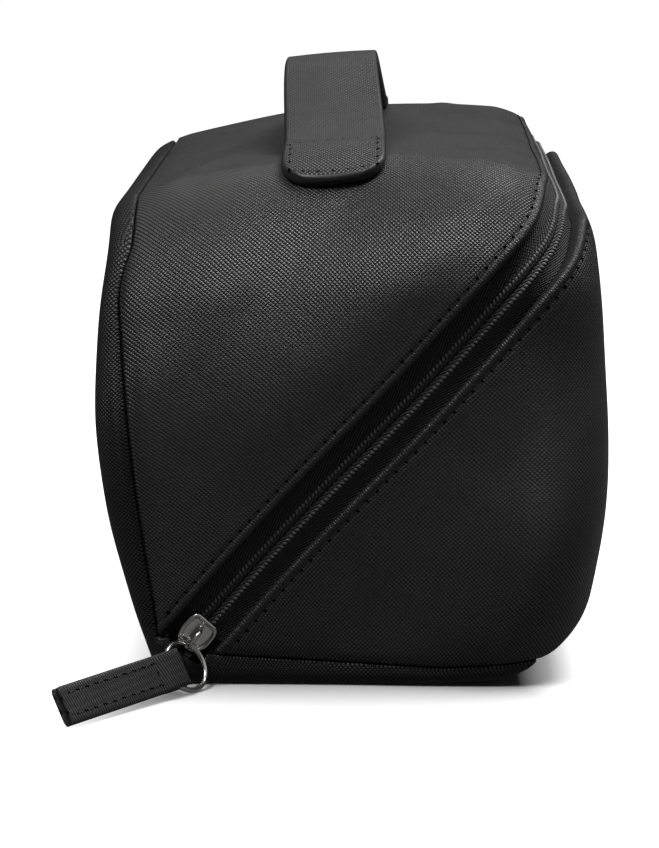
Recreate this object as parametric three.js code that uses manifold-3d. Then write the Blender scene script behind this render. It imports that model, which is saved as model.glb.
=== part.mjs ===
import * as THREE from 'three';
import Module from 'manifold-3d';
import { mergeVertices } from 'three/addons/utils/BufferGeometryUtils.js';

// Zipped cosmetic bag in millimetres. +Z is up, the bag stands on Z = 0, its long side
// runs along Y and the origin is the centre of its base. A zip runs diagonally up the near
// end, along the upper right edge and down the far end, so the bag opens into two prisms:
// the base with the floor and the right side, and the lid with the top and the left side.

const wasm = await Module();
wasm.setup();

// Body of the bag
const BAG_LENGTH = 235;
const BAG_WIDTH = 132;
const BAG_HEIGHT = 139.5;
const TOP_BEND_RADIUS = 34;
const BOTTOM_BEND_RADIUS = 3.5;
const LEFT_CORNER_RADIUS = 7.3;
const RIGHT_CORNER_RADIUS = 22;
const SMALLEST_BEND_RADIUS = 0.5;

// How the soft walls leave the plain box: bellies of the sides, sag of the top, swollen ends
const LEFT_BELLY_OUT = 1.9;
const LEFT_BELLY_HEIGHT = 88.5;
const LEFT_FOOT_IN = 16.5;
const LEFT_SHOULDER_IN = 4.5;
const RIGHT_BELLY_OUT = 3.5;
const RIGHT_BELLY_HEIGHT = 58;
const RIGHT_FOOT_IN = 11;
const RIGHT_SHOULDER_IN = 6;
const SIDE_SWELL = 2.5;
const CROWN_X = 16.8;
const LEFT_TOP_SAG = 7.6;
const RIGHT_TOP_SAG = 5;
const END_SWELL = 4.6;
const FOOT_LIFT = 2.8;
const FOOT_LIFT_FROM_X = 20;
const LID_LEAN = 11;
const LID_LEAN_START = 38;
const LID_LEAN_CURVE = 1.6;
const LID_LEAN_FROM_ZIP = 18;
const LID_LEAN_SLOPE = 31.5;
const ZIP_VALLEY_HALF_WIDTH = 28;
const ZIP_VALLEY_SLOPE = 34;

// Depths below the outer surface at which each layer starts, and their thicknesses
const LEATHER = 1.4;
const LAYER_GAP = 0.3;
const HEM_DEPTH = 4.3;
const FOAM_END_DEPTH = 4.2;
const COIL_START_DEPTH = 2.4;
const COIL_THICKNESS = 1.9;
const TAPE_THICKNESS = 0.6;
const LINING_START_DEPTH = 5.7;
const LINING = 0.8;
const BOARD_THICKNESS = 2.2;

// Zip: the hinge line of the lid, the corner that the zip climbs to, and the widths
const HINGE_FROM_LEFT = 17.7;
const HINGE_HEIGHT = 5.5;
const ZIP_CORNER_FROM_RIGHT = 8.3;
const ZIP_CORNER_DROP_ON_TOP = 9.5;
const ZIP_CORNER_DROP_ON_ENDS = 14.4;
const ZIP_TURN_START = 22;
const ZIP_TURN_END = 7.2;
const ZIP_OPENING = 13.5;
const HEM_WIDTH = 8;
const TAPE_HALF_WIDTH = 15;
const COIL_OUTER_REACH = 3.3;
const ZIP_CENTRE_CLEARANCE = 0.9;
const LINING_FROM_ZIP = 5.4;
const FOLD_GAP = 0.15;
const FOLD_START = 3.4;
const FOLD_END = 4.8;
const LINING_FOLD_START = 4.9;
const LINING_FOLD_END = 6.2;
const FOLD_RELIEF_DEGREES = 36;
const LID_TAPE_START = 3.2;
const LID_TAPE_SLANT = 6.8;
const BASE_TAPE_SLANT = 12.5;
const COIL_START = 5.8;
const STOP_LENGTH = 1.6;
const STOP_WIDTH = 2.2;

// Seams between the leather panels
const SEAM_GAP = 0.3;
const BOTTOM_SEAM_HEIGHT = 7.6;
const LEFT_SEAM_FROM_LEFT = 16;
const LEFT_SEAM_LOW_HEIGHT = 13.6;
const LEFT_SEAM_LEAN = 0.115;
const LEFT_SEAM_TURN_HEIGHT = 12.8;
const LEFT_SEAM_BEND_HEIGHT = 115;
const LEFT_SEAM_TOP_HEIGHT = 130.4;
const LEFT_SEAM_TOP_FROM_LEFT = 10.5;
const FOAM_SPLIT_FROM_END = 33;
const SIDE_FOAM_FOOT = 16;
const BOARD_FROM_LEFT = 25;

// Handle strap on the top
const STRAP_WIDTH = 28.8;
const STRAP_X = -4.5;
const STRAP_CREST_SHIFT = -3;
const STRAP_END_DEGREES = 36;
const STRAP_FREE_HALF_SPAN = 78;
const STRAP_RISE = 18.4;
const STRAP_SEAT = 0.7;
const STRAP_UNDERSIDE = 0.9;
const STRAP_CORE = 1;
const STRAP_LEATHER = 1.1;
const STRAP_CORE_INSET = 1.6;
const PATCH_WIDTH = 26;
const PATCH_LENGTH = 24;
const PATCH_FROM_END = 13;

// Slider, seen from outside: length along the zip, width across it, heights outwards
const SLIDER_START = 6.2;
const SLIDER_LENGTH = 9.8;
const SLIDER_WIDTH = 9.2;
const SLIDER_REAR_WIDTH = 7.2;
const SLIDER_MOUTH_WIDTH = 5.4;
const SLIDER_PLATE = 1.2;
const SLIDER_SHOULDER = 2.6;
const SLIDER_MOUTH_TAPER = 3.2;
const SLIDER_FLANGE = 0.9;
const SLIDER_NECK_LENGTH = 3;
const SLIDER_NECK_FROM_MOUTH = 0.6;
const SLIDER_LOWER_LENGTH = 8.4;
const LID_FLANGE_DROP = 0.2;
const BRIDGE_WIDTH = 1.6;
const BRIDGE_BAR = 1.1;
const BRIDGE_LEG = 0.7;
const BRIDGE_LENGTH = 7.1;
const RUNNING_GAP = 0.3;

// Pull ring and leather pull tab; the tab's heading is its compass angle from +X
const RING_RADIUS = 6.8;
const RING_WIRE = 1.5;
const RING_LEAN_ROOM = 0.9;
const RING_ROOM_ABOVE = 0.75;
const RING_WIRE_FROM_MOUTH = 1.85;
const RING_TURN_DEGREES = -128;
const TAB_HEADING_DEGREES = 231.1;
const TAB_DROP_DEGREES = 1.7;
const TAB_ROLL_DEGREES = -60;
const TAB_LENGTH = 45;
const TAB_WIDTH = 10.5;
const TAB_START = 1.6;
const TAB_LEATHER = 1.1;
const TAB_LAYER_GAP = 0.3;
const TAB_TUNNEL_LENGTH = 5.3;
const TAB_TUNNEL_HEIGHT = 2.3;
const TAB_TAPER = 3.6;

// Counts of facets, and one overrun for all cutters
const TOP_BEND_STEPS = 6;
const BOTTOM_BEND_STEPS = 2;
const LEFT_CORNER_STEPS = 3;
const RIGHT_CORNER_STEPS = 4;
const WALL_STEPS = 4;
const TOP_STEPS = 4;
const BOTTOM_STEPS = 2;
const WIDTH_STEPS = 4;
const CAP_RING_SHARES = [0.34, 0.68];
const STRAP_BEND_STEPS = 5;
const STRAP_ARCH_STEPS = 12;
const RING_STEPS = 32;
const RING_WIRE_STEPS = 8;
const OVERRUN = 60;

const HALF_LENGTH = BAG_LENGTH / 2;
const HALF_WIDTH = BAG_WIDTH / 2;
const TAPE_START_DEPTH = COIL_START_DEPTH + COIL_THICKNESS + LAYER_GAP;
const TAPE_END_DEPTH = TAPE_START_DEPTH + TAPE_THICKNESS;
const hinge = { x: -HALF_WIDTH + HINGE_FROM_LEFT, z: HINGE_HEIGHT };

// Angle of the zip's plane above the floor, on the ends of the bag and on its long edge
const zipRun = HALF_WIDTH - ZIP_CORNER_FROM_RIGHT - hinge.x;
const END_ANGLE = Math.atan2(BAG_HEIGHT - ZIP_CORNER_DROP_ON_ENDS - hinge.z, zipRun);
const EDGE_ANGLE = Math.atan2(BAG_HEIGHT - ZIP_CORNER_DROP_ON_TOP - hinge.z, zipRun);

function finish(color, roughness, metalness) {
  return new THREE.MeshStandardMaterial({ color, roughness, metalness });
}

const leather = finish(0x2b2b2d, 0.62, 0);
const tabLeather = finish(0x303032, 0.6, 0);
const fabric = finish(0x18181a, 0.85, 0);
const coilPlastic = finish(0x3a3a3c, 0.4, 0);
const foam = finish(0x4a4a4a, 0.95, 0);
const board = finish(0x6b6258, 0.9, 0);
const metal = finish(0xc9c9cb, 0.3, 1);

function degrees(angle) {
  return THREE.MathUtils.degToRad(angle);
}

function smooth(value) {
  return THREE.MathUtils.smoothstep(value, 0, 1);
}

// A closed solid from points and triangles, with its faces turned outwards
function closedSolid(points, triangles) {
  let volume = 0;
  for (const [a, b, c] of triangles) {
    volume += points[a].dot(new THREE.Vector3().crossVectors(points[b], points[c]));
  }
  const facing = volume < 0 ? triangles.map(([a, b, c]) => [a, c, b]) : triangles;
  return new wasm.Manifold(new wasm.Mesh({
    numProp: 3,
    vertProperties: new Float32Array(points.flatMap((point) => point.toArray())),
    triVerts: new Uint32Array(facing.flat()),
  }));
}

function solidOf(geometry) {
  geometry.deleteAttribute('normal');
  geometry.deleteAttribute('uv');
  const merged = mergeVertices(geometry);
  return new wasm.Manifold(new wasm.Mesh({
    numProp: 3,
    vertProperties: new Float32Array(merged.attributes.position.array),
    triVerts: new Uint32Array(merged.index.array),
  }));
}

function geometryOf(solid) {
  const mesh = solid.getMesh();
  const geometry = new THREE.BufferGeometry();
  geometry.setAttribute('position', new THREE.BufferAttribute(new Float32Array(mesh.vertProperties), 3));
  geometry.setIndex(new THREE.BufferAttribute(new Uint32Array(mesh.triVerts), 1));
  geometry.computeVertexNormals();
  return geometry;
}

// Rings of points, all of one count, joined in order and closed at both ends
function loft(rings) {
  const count = rings[0].length;
  const triangles = [];
  for (let ring = 0; ring + 1 < rings.length; ring += 1) {
    for (let index = 0; index < count; index += 1) {
      const next = (index + 1) % count;
      const here = ring * count;
      const there = here + count;
      triangles.push([here + index, here + next, there + next]);
      triangles.push([here + index, there + next, there + index]);
    }
  }
  const last = (rings.length - 1) * count;
  for (const [start, turned] of [[0, true], [last, false]]) {
    for (const [a, b, c] of capTriangles(rings[start / count])) {
      triangles.push(turned ? [start + a, start + c, start + b] : [start + a, start + b, start + c]);
    }
  }
  return closedSolid(rings.flat(), triangles);
}

// Triangles over one flat ring, in the two axes in which it has its area, with the ring's turn
function capTriangles(ring) {
  const spread = new THREE.Box3().setFromPoints(ring).getSize(new THREE.Vector3());
  const flat = ring.map((point) => (spread.y < Math.min(spread.x, spread.z)
    ? new THREE.Vector2(point.z, point.x)
    : new THREE.Vector2(point.x, point.z)));
  const triangles = THREE.ShapeUtils.triangulateShape(flat, []);
  const area = THREE.ShapeUtils.area(flat);
  const [a, b, c] = triangles[0].map((index) => flat[index]);
  const turn = (b.x - a.x) * (c.y - a.y) - (c.x - a.x) * (b.y - a.y);
  return turn * area < 0 ? triangles.map(([p, q, r]) => [p, r, q]) : triangles;
}

// Distance from the zip's plane, counted on the ends of the bag, positive on the lid's side
function distanceFromZip(x, z) {
  return (z - hinge.z) * Math.cos(END_ANGLE) - (x - hinge.x) * Math.sin(END_ANGLE);
}

function wallShift(x, z) {
  const [out, height, foot, shoulder] = x < 0
    ? [LEFT_BELLY_OUT, LEFT_BELLY_HEIGHT, LEFT_FOOT_IN, LEFT_SHOULDER_IN]
    : [RIGHT_BELLY_OUT, RIGHT_BELLY_HEIGHT, RIGHT_FOOT_IN, RIGHT_SHOULDER_IN];
  const [drop, reach] = z < height ? [foot, height] : [shoulder, BAG_HEIGHT - height];
  return out - drop * ((z - height) / reach) ** 2;
}

// Moves a point of the plain box to its place on the soft bag
function soften(x, y, z) {
  const height = THREE.MathUtils.clamp(z / BAG_HEIGHT, 0, 1);
  const hump = 4 * height * (1 - height);
  const swell = SIDE_SWELL * hump * (1 - Math.min((y / HALF_LENGTH) ** 2, 1));
  const outX = x + Math.sign(x) * (wallShift(x, z) + swell) * smooth(Math.abs(x) / HALF_WIDTH);
  const sag = outX < CROWN_X ? LEFT_TOP_SAG : RIGHT_TOP_SAG;
  const lift = FOOT_LIFT * (1 - height) * smooth((outX - FOOT_LIFT_FROM_X) / (HALF_WIDTH - FOOT_LIFT_FROM_X));
  const outZ = z + lift - sag * ((outX - CROWN_X) / HALF_WIDTH) ** 2 * smooth(z / BAG_HEIGHT);
  const fromValley = Math.abs(distanceFromZip(outX, outZ)) - ZIP_VALLEY_HALF_WIDTH;
  const bulge = END_SWELL * Math.sqrt(hump) * smooth(fromValley / ZIP_VALLEY_SLOPE);
  const besideZip = smooth((distanceFromZip(outX, outZ) - LID_LEAN_FROM_ZIP) / LID_LEAN_SLOPE);
  const rise = Math.max(0, (z - LID_LEAN_START) / (BAG_HEIGHT - LID_LEAN_START));
  const lean = LID_LEAN * besideZip * rise ** LID_LEAN_CURVE;
  const outY = y + Math.sign(y) * (bulge - lean) * smooth(Math.abs(y) / HALF_LENGTH);
  return new THREE.Vector3(outX, outY, outZ);
}

function steps(from, to, count) {
  return Array.from({ length: count + 1 }, (_, index) => from + (to - from) * index / count);
}

// Outline in Y and Z of the plain box, drawn in by an inset, with the same points at any inset
function boxOutline(inset) {
  const topRadius = Math.max(TOP_BEND_RADIUS - inset, SMALLEST_BEND_RADIUS);
  const bottomRadius = Math.max(BOTTOM_BEND_RADIUS - inset, SMALLEST_BEND_RADIUS);
  const end = HALF_LENGTH - inset;
  const top = BAG_HEIGHT - inset;
  const points = [];
  const bend = (y, z, radius, start, count) => {
    for (const angle of steps(start, start + Math.PI / 2, count)) {
      points.push([y + radius * Math.cos(angle), z + radius * Math.sin(angle)]);
    }
  };
  const run = (target, count) => {
    const from = points[points.length - 1];
    for (const share of steps(0, 1, count).slice(1, -1)) {
      points.push([from[0] + (target[0] - from[0]) * share, from[1] + (target[1] - from[1]) * share]);
    }
  };
  bend(end - bottomRadius, inset + bottomRadius, bottomRadius, -Math.PI / 2, BOTTOM_BEND_STEPS);
  run([end, top - topRadius], WALL_STEPS);
  bend(end - topRadius, top - topRadius, topRadius, 0, TOP_BEND_STEPS);
  run([-end + topRadius, top], TOP_STEPS);
  bend(-end + topRadius, top - topRadius, topRadius, Math.PI / 2, TOP_BEND_STEPS);
  run([-end, inset + bottomRadius], WALL_STEPS);
  bend(-end + bottomRadius, inset + bottomRadius, bottomRadius, Math.PI, BOTTOM_BEND_STEPS);
  run([end - bottomRadius, inset], BOTTOM_STEPS);
  return points;
}

// The whole bag's surface at one depth below its outer surface, as a closed solid
function skin(depth) {
  const stations = [];
  const leftRadius = Math.max(LEFT_CORNER_RADIUS - depth, SMALLEST_BEND_RADIUS);
  const rightRadius = Math.max(RIGHT_CORNER_RADIUS - depth, SMALLEST_BEND_RADIUS);
  const leftFlat = -HALF_WIDTH + depth + leftRadius;
  const rightFlat = HALF_WIDTH - depth - rightRadius;
  for (const share of CAP_RING_SHARES) {
    stations.push([-HALF_WIDTH + depth, leftRadius, share]);
  }
  for (const angle of steps(Math.PI / 2, 0, LEFT_CORNER_STEPS)) {
    stations.push([leftFlat - leftRadius * Math.sin(angle), leftRadius * (1 - Math.cos(angle)), 1]);
  }
  for (const x of steps(leftFlat, rightFlat, WIDTH_STEPS).slice(1, -1)) {
    stations.push([x, 0, 1]);
  }
  for (const angle of steps(0, Math.PI / 2, RIGHT_CORNER_STEPS)) {
    stations.push([rightFlat + rightRadius * Math.sin(angle), rightRadius * (1 - Math.cos(angle)), 1]);
  }
  for (const share of CAP_RING_SHARES.toReversed()) {
    stations.push([HALF_WIDTH - depth, rightRadius, share]);
  }
  const middle = BAG_HEIGHT / 2;
  const rings = stations.map(([x, inset, share]) => boxOutline(depth + inset)
    .map(([y, z]) => soften(x, y * share, middle + (z - middle) * share)));
  return loftWithPoles(rings, [-HALF_WIDTH + depth, HALF_WIDTH - depth].map((x) => soften(x, 0, middle)));
}

// Rings joined in order, with a point at each end
function loftWithPoles(rings, poles) {
  const count = rings[0].length;
  const points = [...rings.flat(), ...poles];
  const firstPole = rings.length * count;
  const triangles = [];
  const around = steps(0, count - 1, count - 1);
  for (let ring = 0; ring + 1 < rings.length; ring += 1) {
    for (const index of around) {
      const next = (index + 1) % count;
      const here = ring * count;
      const there = here + count;
      triangles.push([here + index, here + next, there + next]);
      triangles.push([here + index, there + next, there + index]);
    }
  }
  for (const index of around) {
    const next = (index + 1) % count;
    const last = firstPole - count;
    triangles.push([firstPole, next, index]);
    triangles.push([firstPole + 1, last + index, last + next]);
  }
  return closedSolid(points, triangles);
}

// A point given along the zip's plane and across it, at one angle of that plane
function zipPoint([along, across], angle, y) {
  return new THREE.Vector3(
    hinge.x + along * Math.cos(angle) - across * Math.sin(angle),
    y,
    hinge.z + along * Math.sin(angle) + across * Math.cos(angle),
  );
}

// A cutter through the whole bag, whose outline follows the zip's plane as it lifts on the edge
function zipCutter(outline) {
  const places = [
    [HALF_LENGTH + OVERRUN, END_ANGLE],
    [HALF_LENGTH - ZIP_TURN_END, END_ANGLE],
    [HALF_LENGTH - ZIP_TURN_START, EDGE_ANGLE],
  ];
  const stations = [...places.map(([y, angle]) => [-y, angle]), ...places.toReversed()];
  return loft(stations.map(([y, angle]) => outline.map((point) => zipPoint(point, angle, y))));
}

const REACH = Math.hypot(BAG_WIDTH, BAG_HEIGHT);

// All that lies on one side of the zip, side 1 for the lid and -1 for the base
function clearOf(side, gap) {
  return zipCutter([[-REACH, gap], [0, gap], [REACH, gap], [REACH, REACH], [-REACH, REACH]]
    .map(([along, across]) => [along, across * side]));
}

// The same, but closing up to the hinge line and eased behind it, so that the lid can turn
function foldedSide(side, gap, start, end) {
  const relief = REACH * Math.tan(degrees(FOLD_RELIEF_DEGREES));
  const outline = [
    [0, FOLD_GAP], [start, FOLD_GAP], [end, gap], [REACH, gap],
    [REACH, REACH], [-REACH, REACH], [-REACH, relief],
  ];
  return zipCutter(outline.map(([along, across]) => [along, across * side]));
}

// A band beside the zip from one distance to another, with its start cut on a slant
function zipBand(side, near, far, start, slant) {
  return zipCutter([[start, near], [REACH, near], [REACH, far], [start + slant, far]]
    .map(([along, across]) => [along, across * side]));
}

// A cutter along Y with an outline in X and Z
function prism(outline) {
  const end = HALF_LENGTH + OVERRUN;
  return loft([-end, end].map((y) => outline.map(([x, z]) => new THREE.Vector3(x, y, z))));
}

function block(low, high) {
  const size = high.map((value, axis) => value - low[axis]);
  const geometry = new THREE.BoxGeometry(...size);
  geometry.translate(...high.map((value, axis) => (value + low[axis]) / 2));
  return solidOf(geometry);
}

const FAR = Math.max(BAG_LENGTH, BAG_WIDTH, BAG_HEIGHT) + OVERRUN;

function above(height) {
  return block([-FAR, -FAR, height], [FAR, FAR, FAR]);
}

function below(height) {
  return block([-FAR, -FAR, -FAR], [FAR, FAR, height]);
}

// Right of the seam beside the left side panel, which turns in over the top, and above one height
function rightOfSeam(gap, foot) {
  const seamX = (z) => -HALF_WIDTH + LEFT_SEAM_FROM_LEFT - LEFT_SEAM_LEAN * (z - LEFT_SEAM_LOW_HEIGHT) + gap;
  const topX = -HALF_WIDTH + LEFT_SEAM_TOP_FROM_LEFT + gap;
  return prism([
    [seamX(foot), foot], [FAR, foot], [FAR, FAR],
    [topX, FAR], [topX, LEFT_SEAM_TOP_HEIGHT], [seamX(LEFT_SEAM_BEND_HEIGHT), LEFT_SEAM_BEND_HEIGHT],
  ]);
}

const bag = new THREE.Group();

function addSolid(name, solid, material, parent = bag) {
  const mesh = new THREE.Mesh(geometryOf(solid), material);
  mesh.name = name;
  parent.add(mesh);
}

const outer = skin(0);
const leatherBack = skin(LEATHER);
const foamFront = skin(LEATHER + LAYER_GAP);
const foamBack = skin(FOAM_END_DEPTH);
const hemBack = skin(HEM_DEPTH);
const tapeFront = skin(TAPE_START_DEPTH);
const tapeBack = skin(TAPE_END_DEPTH);
const liningFront = skin(LINING_START_DEPTH);
const liningBack = skin(LINING_START_DEPTH + LINING);

const halfOpening = ZIP_OPENING / 2;
const halfSeam = SEAM_GAP / 2;
const LID = 1;
const BASE = -1;

// Leather, thin all over and folded in to a thick hem along the zip
const hemEdge = halfOpening + HEM_WIDTH;
const belowHem = zipCutter([[-REACH, -REACH], [COIL_START, -REACH], [COIL_START, REACH], [-REACH, REACH]]);
const thinZone = clearOf(LID, hemEdge).add(clearOf(BASE, hemEdge)).add(belowHem);
const leatherShell = outer.subtract(leatherBack.intersect(thinZone).add(hemBack));
const thinShell = outer.subtract(leatherBack);
const aboveBottomSeam = above(BOTTOM_SEAM_HEIGHT + halfSeam);
const wrapZone = rightOfSeam(halfSeam, LEFT_SEAM_TURN_HEIGHT + halfSeam);
const panelZone = rightOfSeam(-halfSeam, LEFT_SEAM_TURN_HEIGHT - halfSeam);

addSolid('base_wrap', leatherShell.intersect(clearOf(BASE, halfOpening)).intersect(aboveBottomSeam), leather);
addSolid('bottom_panel', thinShell
  .intersect(foldedSide(BASE, halfOpening, FOLD_START, FOLD_END))
  .intersect(below(BOTTOM_SEAM_HEIGHT - halfSeam)), leather);
addSolid('lid_wrap', leatherShell.intersect(clearOf(LID, halfOpening)).intersect(wrapZone), leather);
addSolid('side_panel', thinShell
  .intersect(foldedSide(LID, halfOpening, FOLD_START, FOLD_END))
  .subtract(panelZone), leather);

// Foam between leather and lining, in a piece for each wall
const foamEdge = hemEdge + LAYER_GAP;
const foamShell = foamFront.subtract(foamBack);
const foamCut = HALF_LENGTH - FOAM_SPLIT_FROM_END;
const endZone = (sign, gap) => {
  const [low, high] = [foamCut + gap, FAR].map((y) => sign * y).toSorted((a, b) => a - b);
  return block([-FAR, low, -FAR], [FAR, high, FAR]);
};
const middleZone = block([-FAR, -foamCut + halfSeam, -FAR], [FAR, foamCut - halfSeam, FAR]);
const baseFoam = foamShell.intersect(clearOf(BASE, foamEdge)).intersect(aboveBottomSeam);
const lidFoam = foamShell.intersect(clearOf(LID, foamEdge)).intersect(wrapZone);
addSolid('base_foam_near', baseFoam.intersect(endZone(-1, halfSeam)), foam);
addSolid('base_foam_right', baseFoam.intersect(middleZone), foam);
addSolid('base_foam_far', baseFoam.intersect(endZone(1, halfSeam)), foam);
addSolid('lid_foam_near', lidFoam.intersect(endZone(-1, halfSeam)), foam);
addSolid('lid_foam_top', lidFoam.intersect(middleZone), foam);
addSolid('lid_foam_far', lidFoam.intersect(endZone(1, halfSeam)), foam);
addSolid('side_foam', foamShell.intersect(above(SIDE_FOAM_FOOT)).subtract(rightOfSeam(-halfSeam, -FAR)), foam);
addSolid('base_board', foamFront
  .intersect(block([-HALF_WIDTH + BOARD_FROM_LEFT, -FAR, -FAR], [FAR, FAR, LEATHER + LAYER_GAP + BOARD_THICKNESS])), board);

// Lining
const liningShell = liningFront.subtract(liningBack);
for (const [name, side] of [['base_lining', BASE], ['lid_lining', LID]]) {
  const zone = foldedSide(side, LINING_FROM_ZIP, LINING_FOLD_START, LINING_FOLD_END);
  addSolid(name, liningShell.intersect(zone), fabric);
}

// Zip tapes and coils, one of each on either side
const tapeShell = tapeFront.subtract(tapeBack);
const coilShell = skin(COIL_START_DEPTH).subtract(skin(COIL_START_DEPTH + COIL_THICKNESS));
for (const [name, side, slant] of [['lid', LID, LID_TAPE_SLANT], ['base', BASE, BASE_TAPE_SLANT]]) {
  const tapeZone = zipBand(side, ZIP_CENTRE_CLEARANCE, TAPE_HALF_WIDTH, LID_TAPE_START, slant);
  const coilZone = zipBand(side, ZIP_CENTRE_CLEARANCE, COIL_OUTER_REACH, COIL_START, 0);
  addSolid(`zip_tape_${name}`, tapeShell.intersect(tapeZone), fabric);
  addSolid(`zip_coil_${name}`, coilShell.intersect(coilZone), coilPlastic);
}

// Metal stops clamped over the ends of each coil, at the near and the far end
for (const [endName, end] of [['near', -1], ['far', 1]]) {
  for (const [sideName, side] of [['lid', LID], ['base', BASE]]) {
    const stop = new THREE.Mesh(new THREE.BoxGeometry(STOP_LENGTH, COIL_THICKNESS, STOP_WIDTH), metal);
    const along = COIL_START - LAYER_GAP - STOP_LENGTH / 2;
    const across = side * (ZIP_CENTRE_CLEARANCE + STOP_WIDTH / 2);
    const y = end * (HALF_LENGTH - COIL_START_DEPTH - COIL_THICKNESS / 2);
    stop.position.copy(zipPoint([along, across], END_ANGLE, y));
    stop.rotation.y = -END_ANGLE;
    stop.name = `zip_stop_${endName}_${sideName}`;
    bag.add(stop);
  }
}

// Handle strap: three layers along one path, down the bends of the top at both ends
function strapPath() {
  const end = degrees(STRAP_END_DEGREES);
  const bendY = HALF_LENGTH - TOP_BEND_RADIUS;
  const bendZ = BAG_HEIGHT - TOP_BEND_RADIUS;
  const near = steps(end, 0, STRAP_BEND_STEPS).map((angle) => ({
    x: STRAP_X,
    y: -bendY - TOP_BEND_RADIUS * Math.sin(angle),
    z: bendZ + TOP_BEND_RADIUS * Math.cos(angle),
    normal: [-Math.sin(angle), Math.cos(angle)],
  }));
  const arch = steps(-STRAP_FREE_HALF_SPAN, STRAP_FREE_HALF_SPAN, STRAP_ARCH_STEPS).map((y) => {
    const phase = Math.PI * y / (2 * STRAP_FREE_HALF_SPAN);
    const slope = -STRAP_RISE * Math.sin(2 * phase) * Math.PI / (2 * STRAP_FREE_HALF_SPAN);
    const length = Math.hypot(slope, 1);
    const lift = Math.cos(phase) ** 2;
    return {
      x: STRAP_X + STRAP_CREST_SHIFT * lift,
      y,
      z: BAG_HEIGHT + STRAP_RISE * lift,
      normal: [-slope / length, 1 / length],
    };
  });
  const far = near.toReversed().map(({ x, y, z, normal }) => ({ x, y: -y, z, normal: [-normal[0], normal[1]] }));
  return [...near, ...arch, ...far];
}

function strapLayer(from, to, inset) {
  const half = STRAP_WIDTH / 2 - inset;
  const across = [-half, 0, half];
  return loft(strapPath().map(({ x, y, z, normal }) => {
    const at = (aside, lift) => soften(x + aside, y + normal[0] * lift, z + normal[1] * lift);
    return [...across.map((aside) => at(aside, from)), ...across.toReversed().map((aside) => at(aside, to))];
  }));
}

const coreStart = STRAP_SEAT + STRAP_UNDERSIDE + LAYER_GAP;
const strapTop = coreStart + STRAP_CORE + LAYER_GAP;
addSolid('handle_underside', strapLayer(STRAP_SEAT, STRAP_SEAT + STRAP_UNDERSIDE, 0), leather);
addSolid('handle_core', strapLayer(coreStart, coreStart + STRAP_CORE, STRAP_CORE_INSET), foam);
addSolid('handle_strap', strapLayer(strapTop, strapTop + STRAP_LEATHER, 0), leather);

// Patches inside the top that the ends of the strap are sewn through
for (const [name, end] of [['near', -1], ['far', 1]]) {
  const ends = [HALF_LENGTH - PATCH_FROM_END, HALF_LENGTH - PATCH_FROM_END - PATCH_LENGTH];
  const [low, high] = ends.map((y) => end * y).toSorted((a, b) => a - b);
  const middle = BAG_HEIGHT / 2;
  const zone = block(
    [STRAP_X - PATCH_WIDTH / 2, low, middle],
    [STRAP_X + PATCH_WIDTH / 2, high, FAR],
  );
  addSolid(`handle_patch_${name}`, tapeShell.intersect(zone), board);
}

// Slider: local X runs up the zip, local Y across it towards the lid, local Z outwards
const slider = new THREE.Group();
slider.position.copy(zipPoint([SLIDER_START + SLIDER_LENGTH / 2, 0], END_ANGLE, -HALF_LENGTH));
slider.rotation.set(Math.PI / 2, 0, END_ANGLE);
bag.add(slider);

function plate(outline, low, high) {
  const shape = new THREE.Shape(outline.map(([x, y]) => new THREE.Vector2(x, y)));
  const geometry = new THREE.ExtrudeGeometry(shape, { depth: high - low, bevelEnabled: false });
  geometry.translate(0, 0, low);
  return solidOf(geometry);
}

const plateBack = -COIL_START_DEPTH + RUNNING_GAP;
const plateFront = plateBack + SLIDER_PLATE;
const halfSlider = SLIDER_LENGTH / 2;
const halfRear = SLIDER_REAR_WIDTH / 2;
const halfSliderWidth = SLIDER_WIDTH / 2;
const halfMouth = SLIDER_MOUTH_WIDTH / 2;
const shoulderX = halfSlider - SLIDER_SHOULDER;
const mouthX = -halfSlider + SLIDER_MOUTH_TAPER;
const upperPlate = plate([
  [halfSlider, -halfRear], [halfSlider, halfRear], [shoulderX, halfSliderWidth], [mouthX, halfSliderWidth],
  [-halfSlider, halfMouth], [-halfSlider, -halfMouth], [mouthX, -halfSliderWidth], [shoulderX, -halfSliderWidth],
], plateBack, plateFront);
const flangeInner = halfSliderWidth - SLIDER_FLANGE;
const lowerTop = -TAPE_END_DEPTH - RUNNING_GAP;
const halfLower = SLIDER_LOWER_LENGTH / 2;
const lowerPlate = block([-halfLower, -flangeInner, lowerTop - SLIDER_PLATE], [halfLower, flangeInner, lowerTop]);
const baseFlange = block(
  [mouthX, -halfSliderWidth, -TAPE_START_DEPTH + RUNNING_GAP],
  [shoulderX, -flangeInner, plateFront],
);
const lidFlange = block([mouthX, flangeInner, plateBack - LID_FLANGE_DROP], [shoulderX, halfSliderWidth, plateFront]);
const neckHalf = ZIP_CENTRE_CLEARANCE - RUNNING_GAP;
const neckStart = -halfLower + SLIDER_NECK_FROM_MOUTH;
const neck = block([neckStart, -neckHalf, lowerTop - SLIDER_PLATE], [neckStart + SLIDER_NECK_LENGTH, neckHalf, plateFront]);

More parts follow.
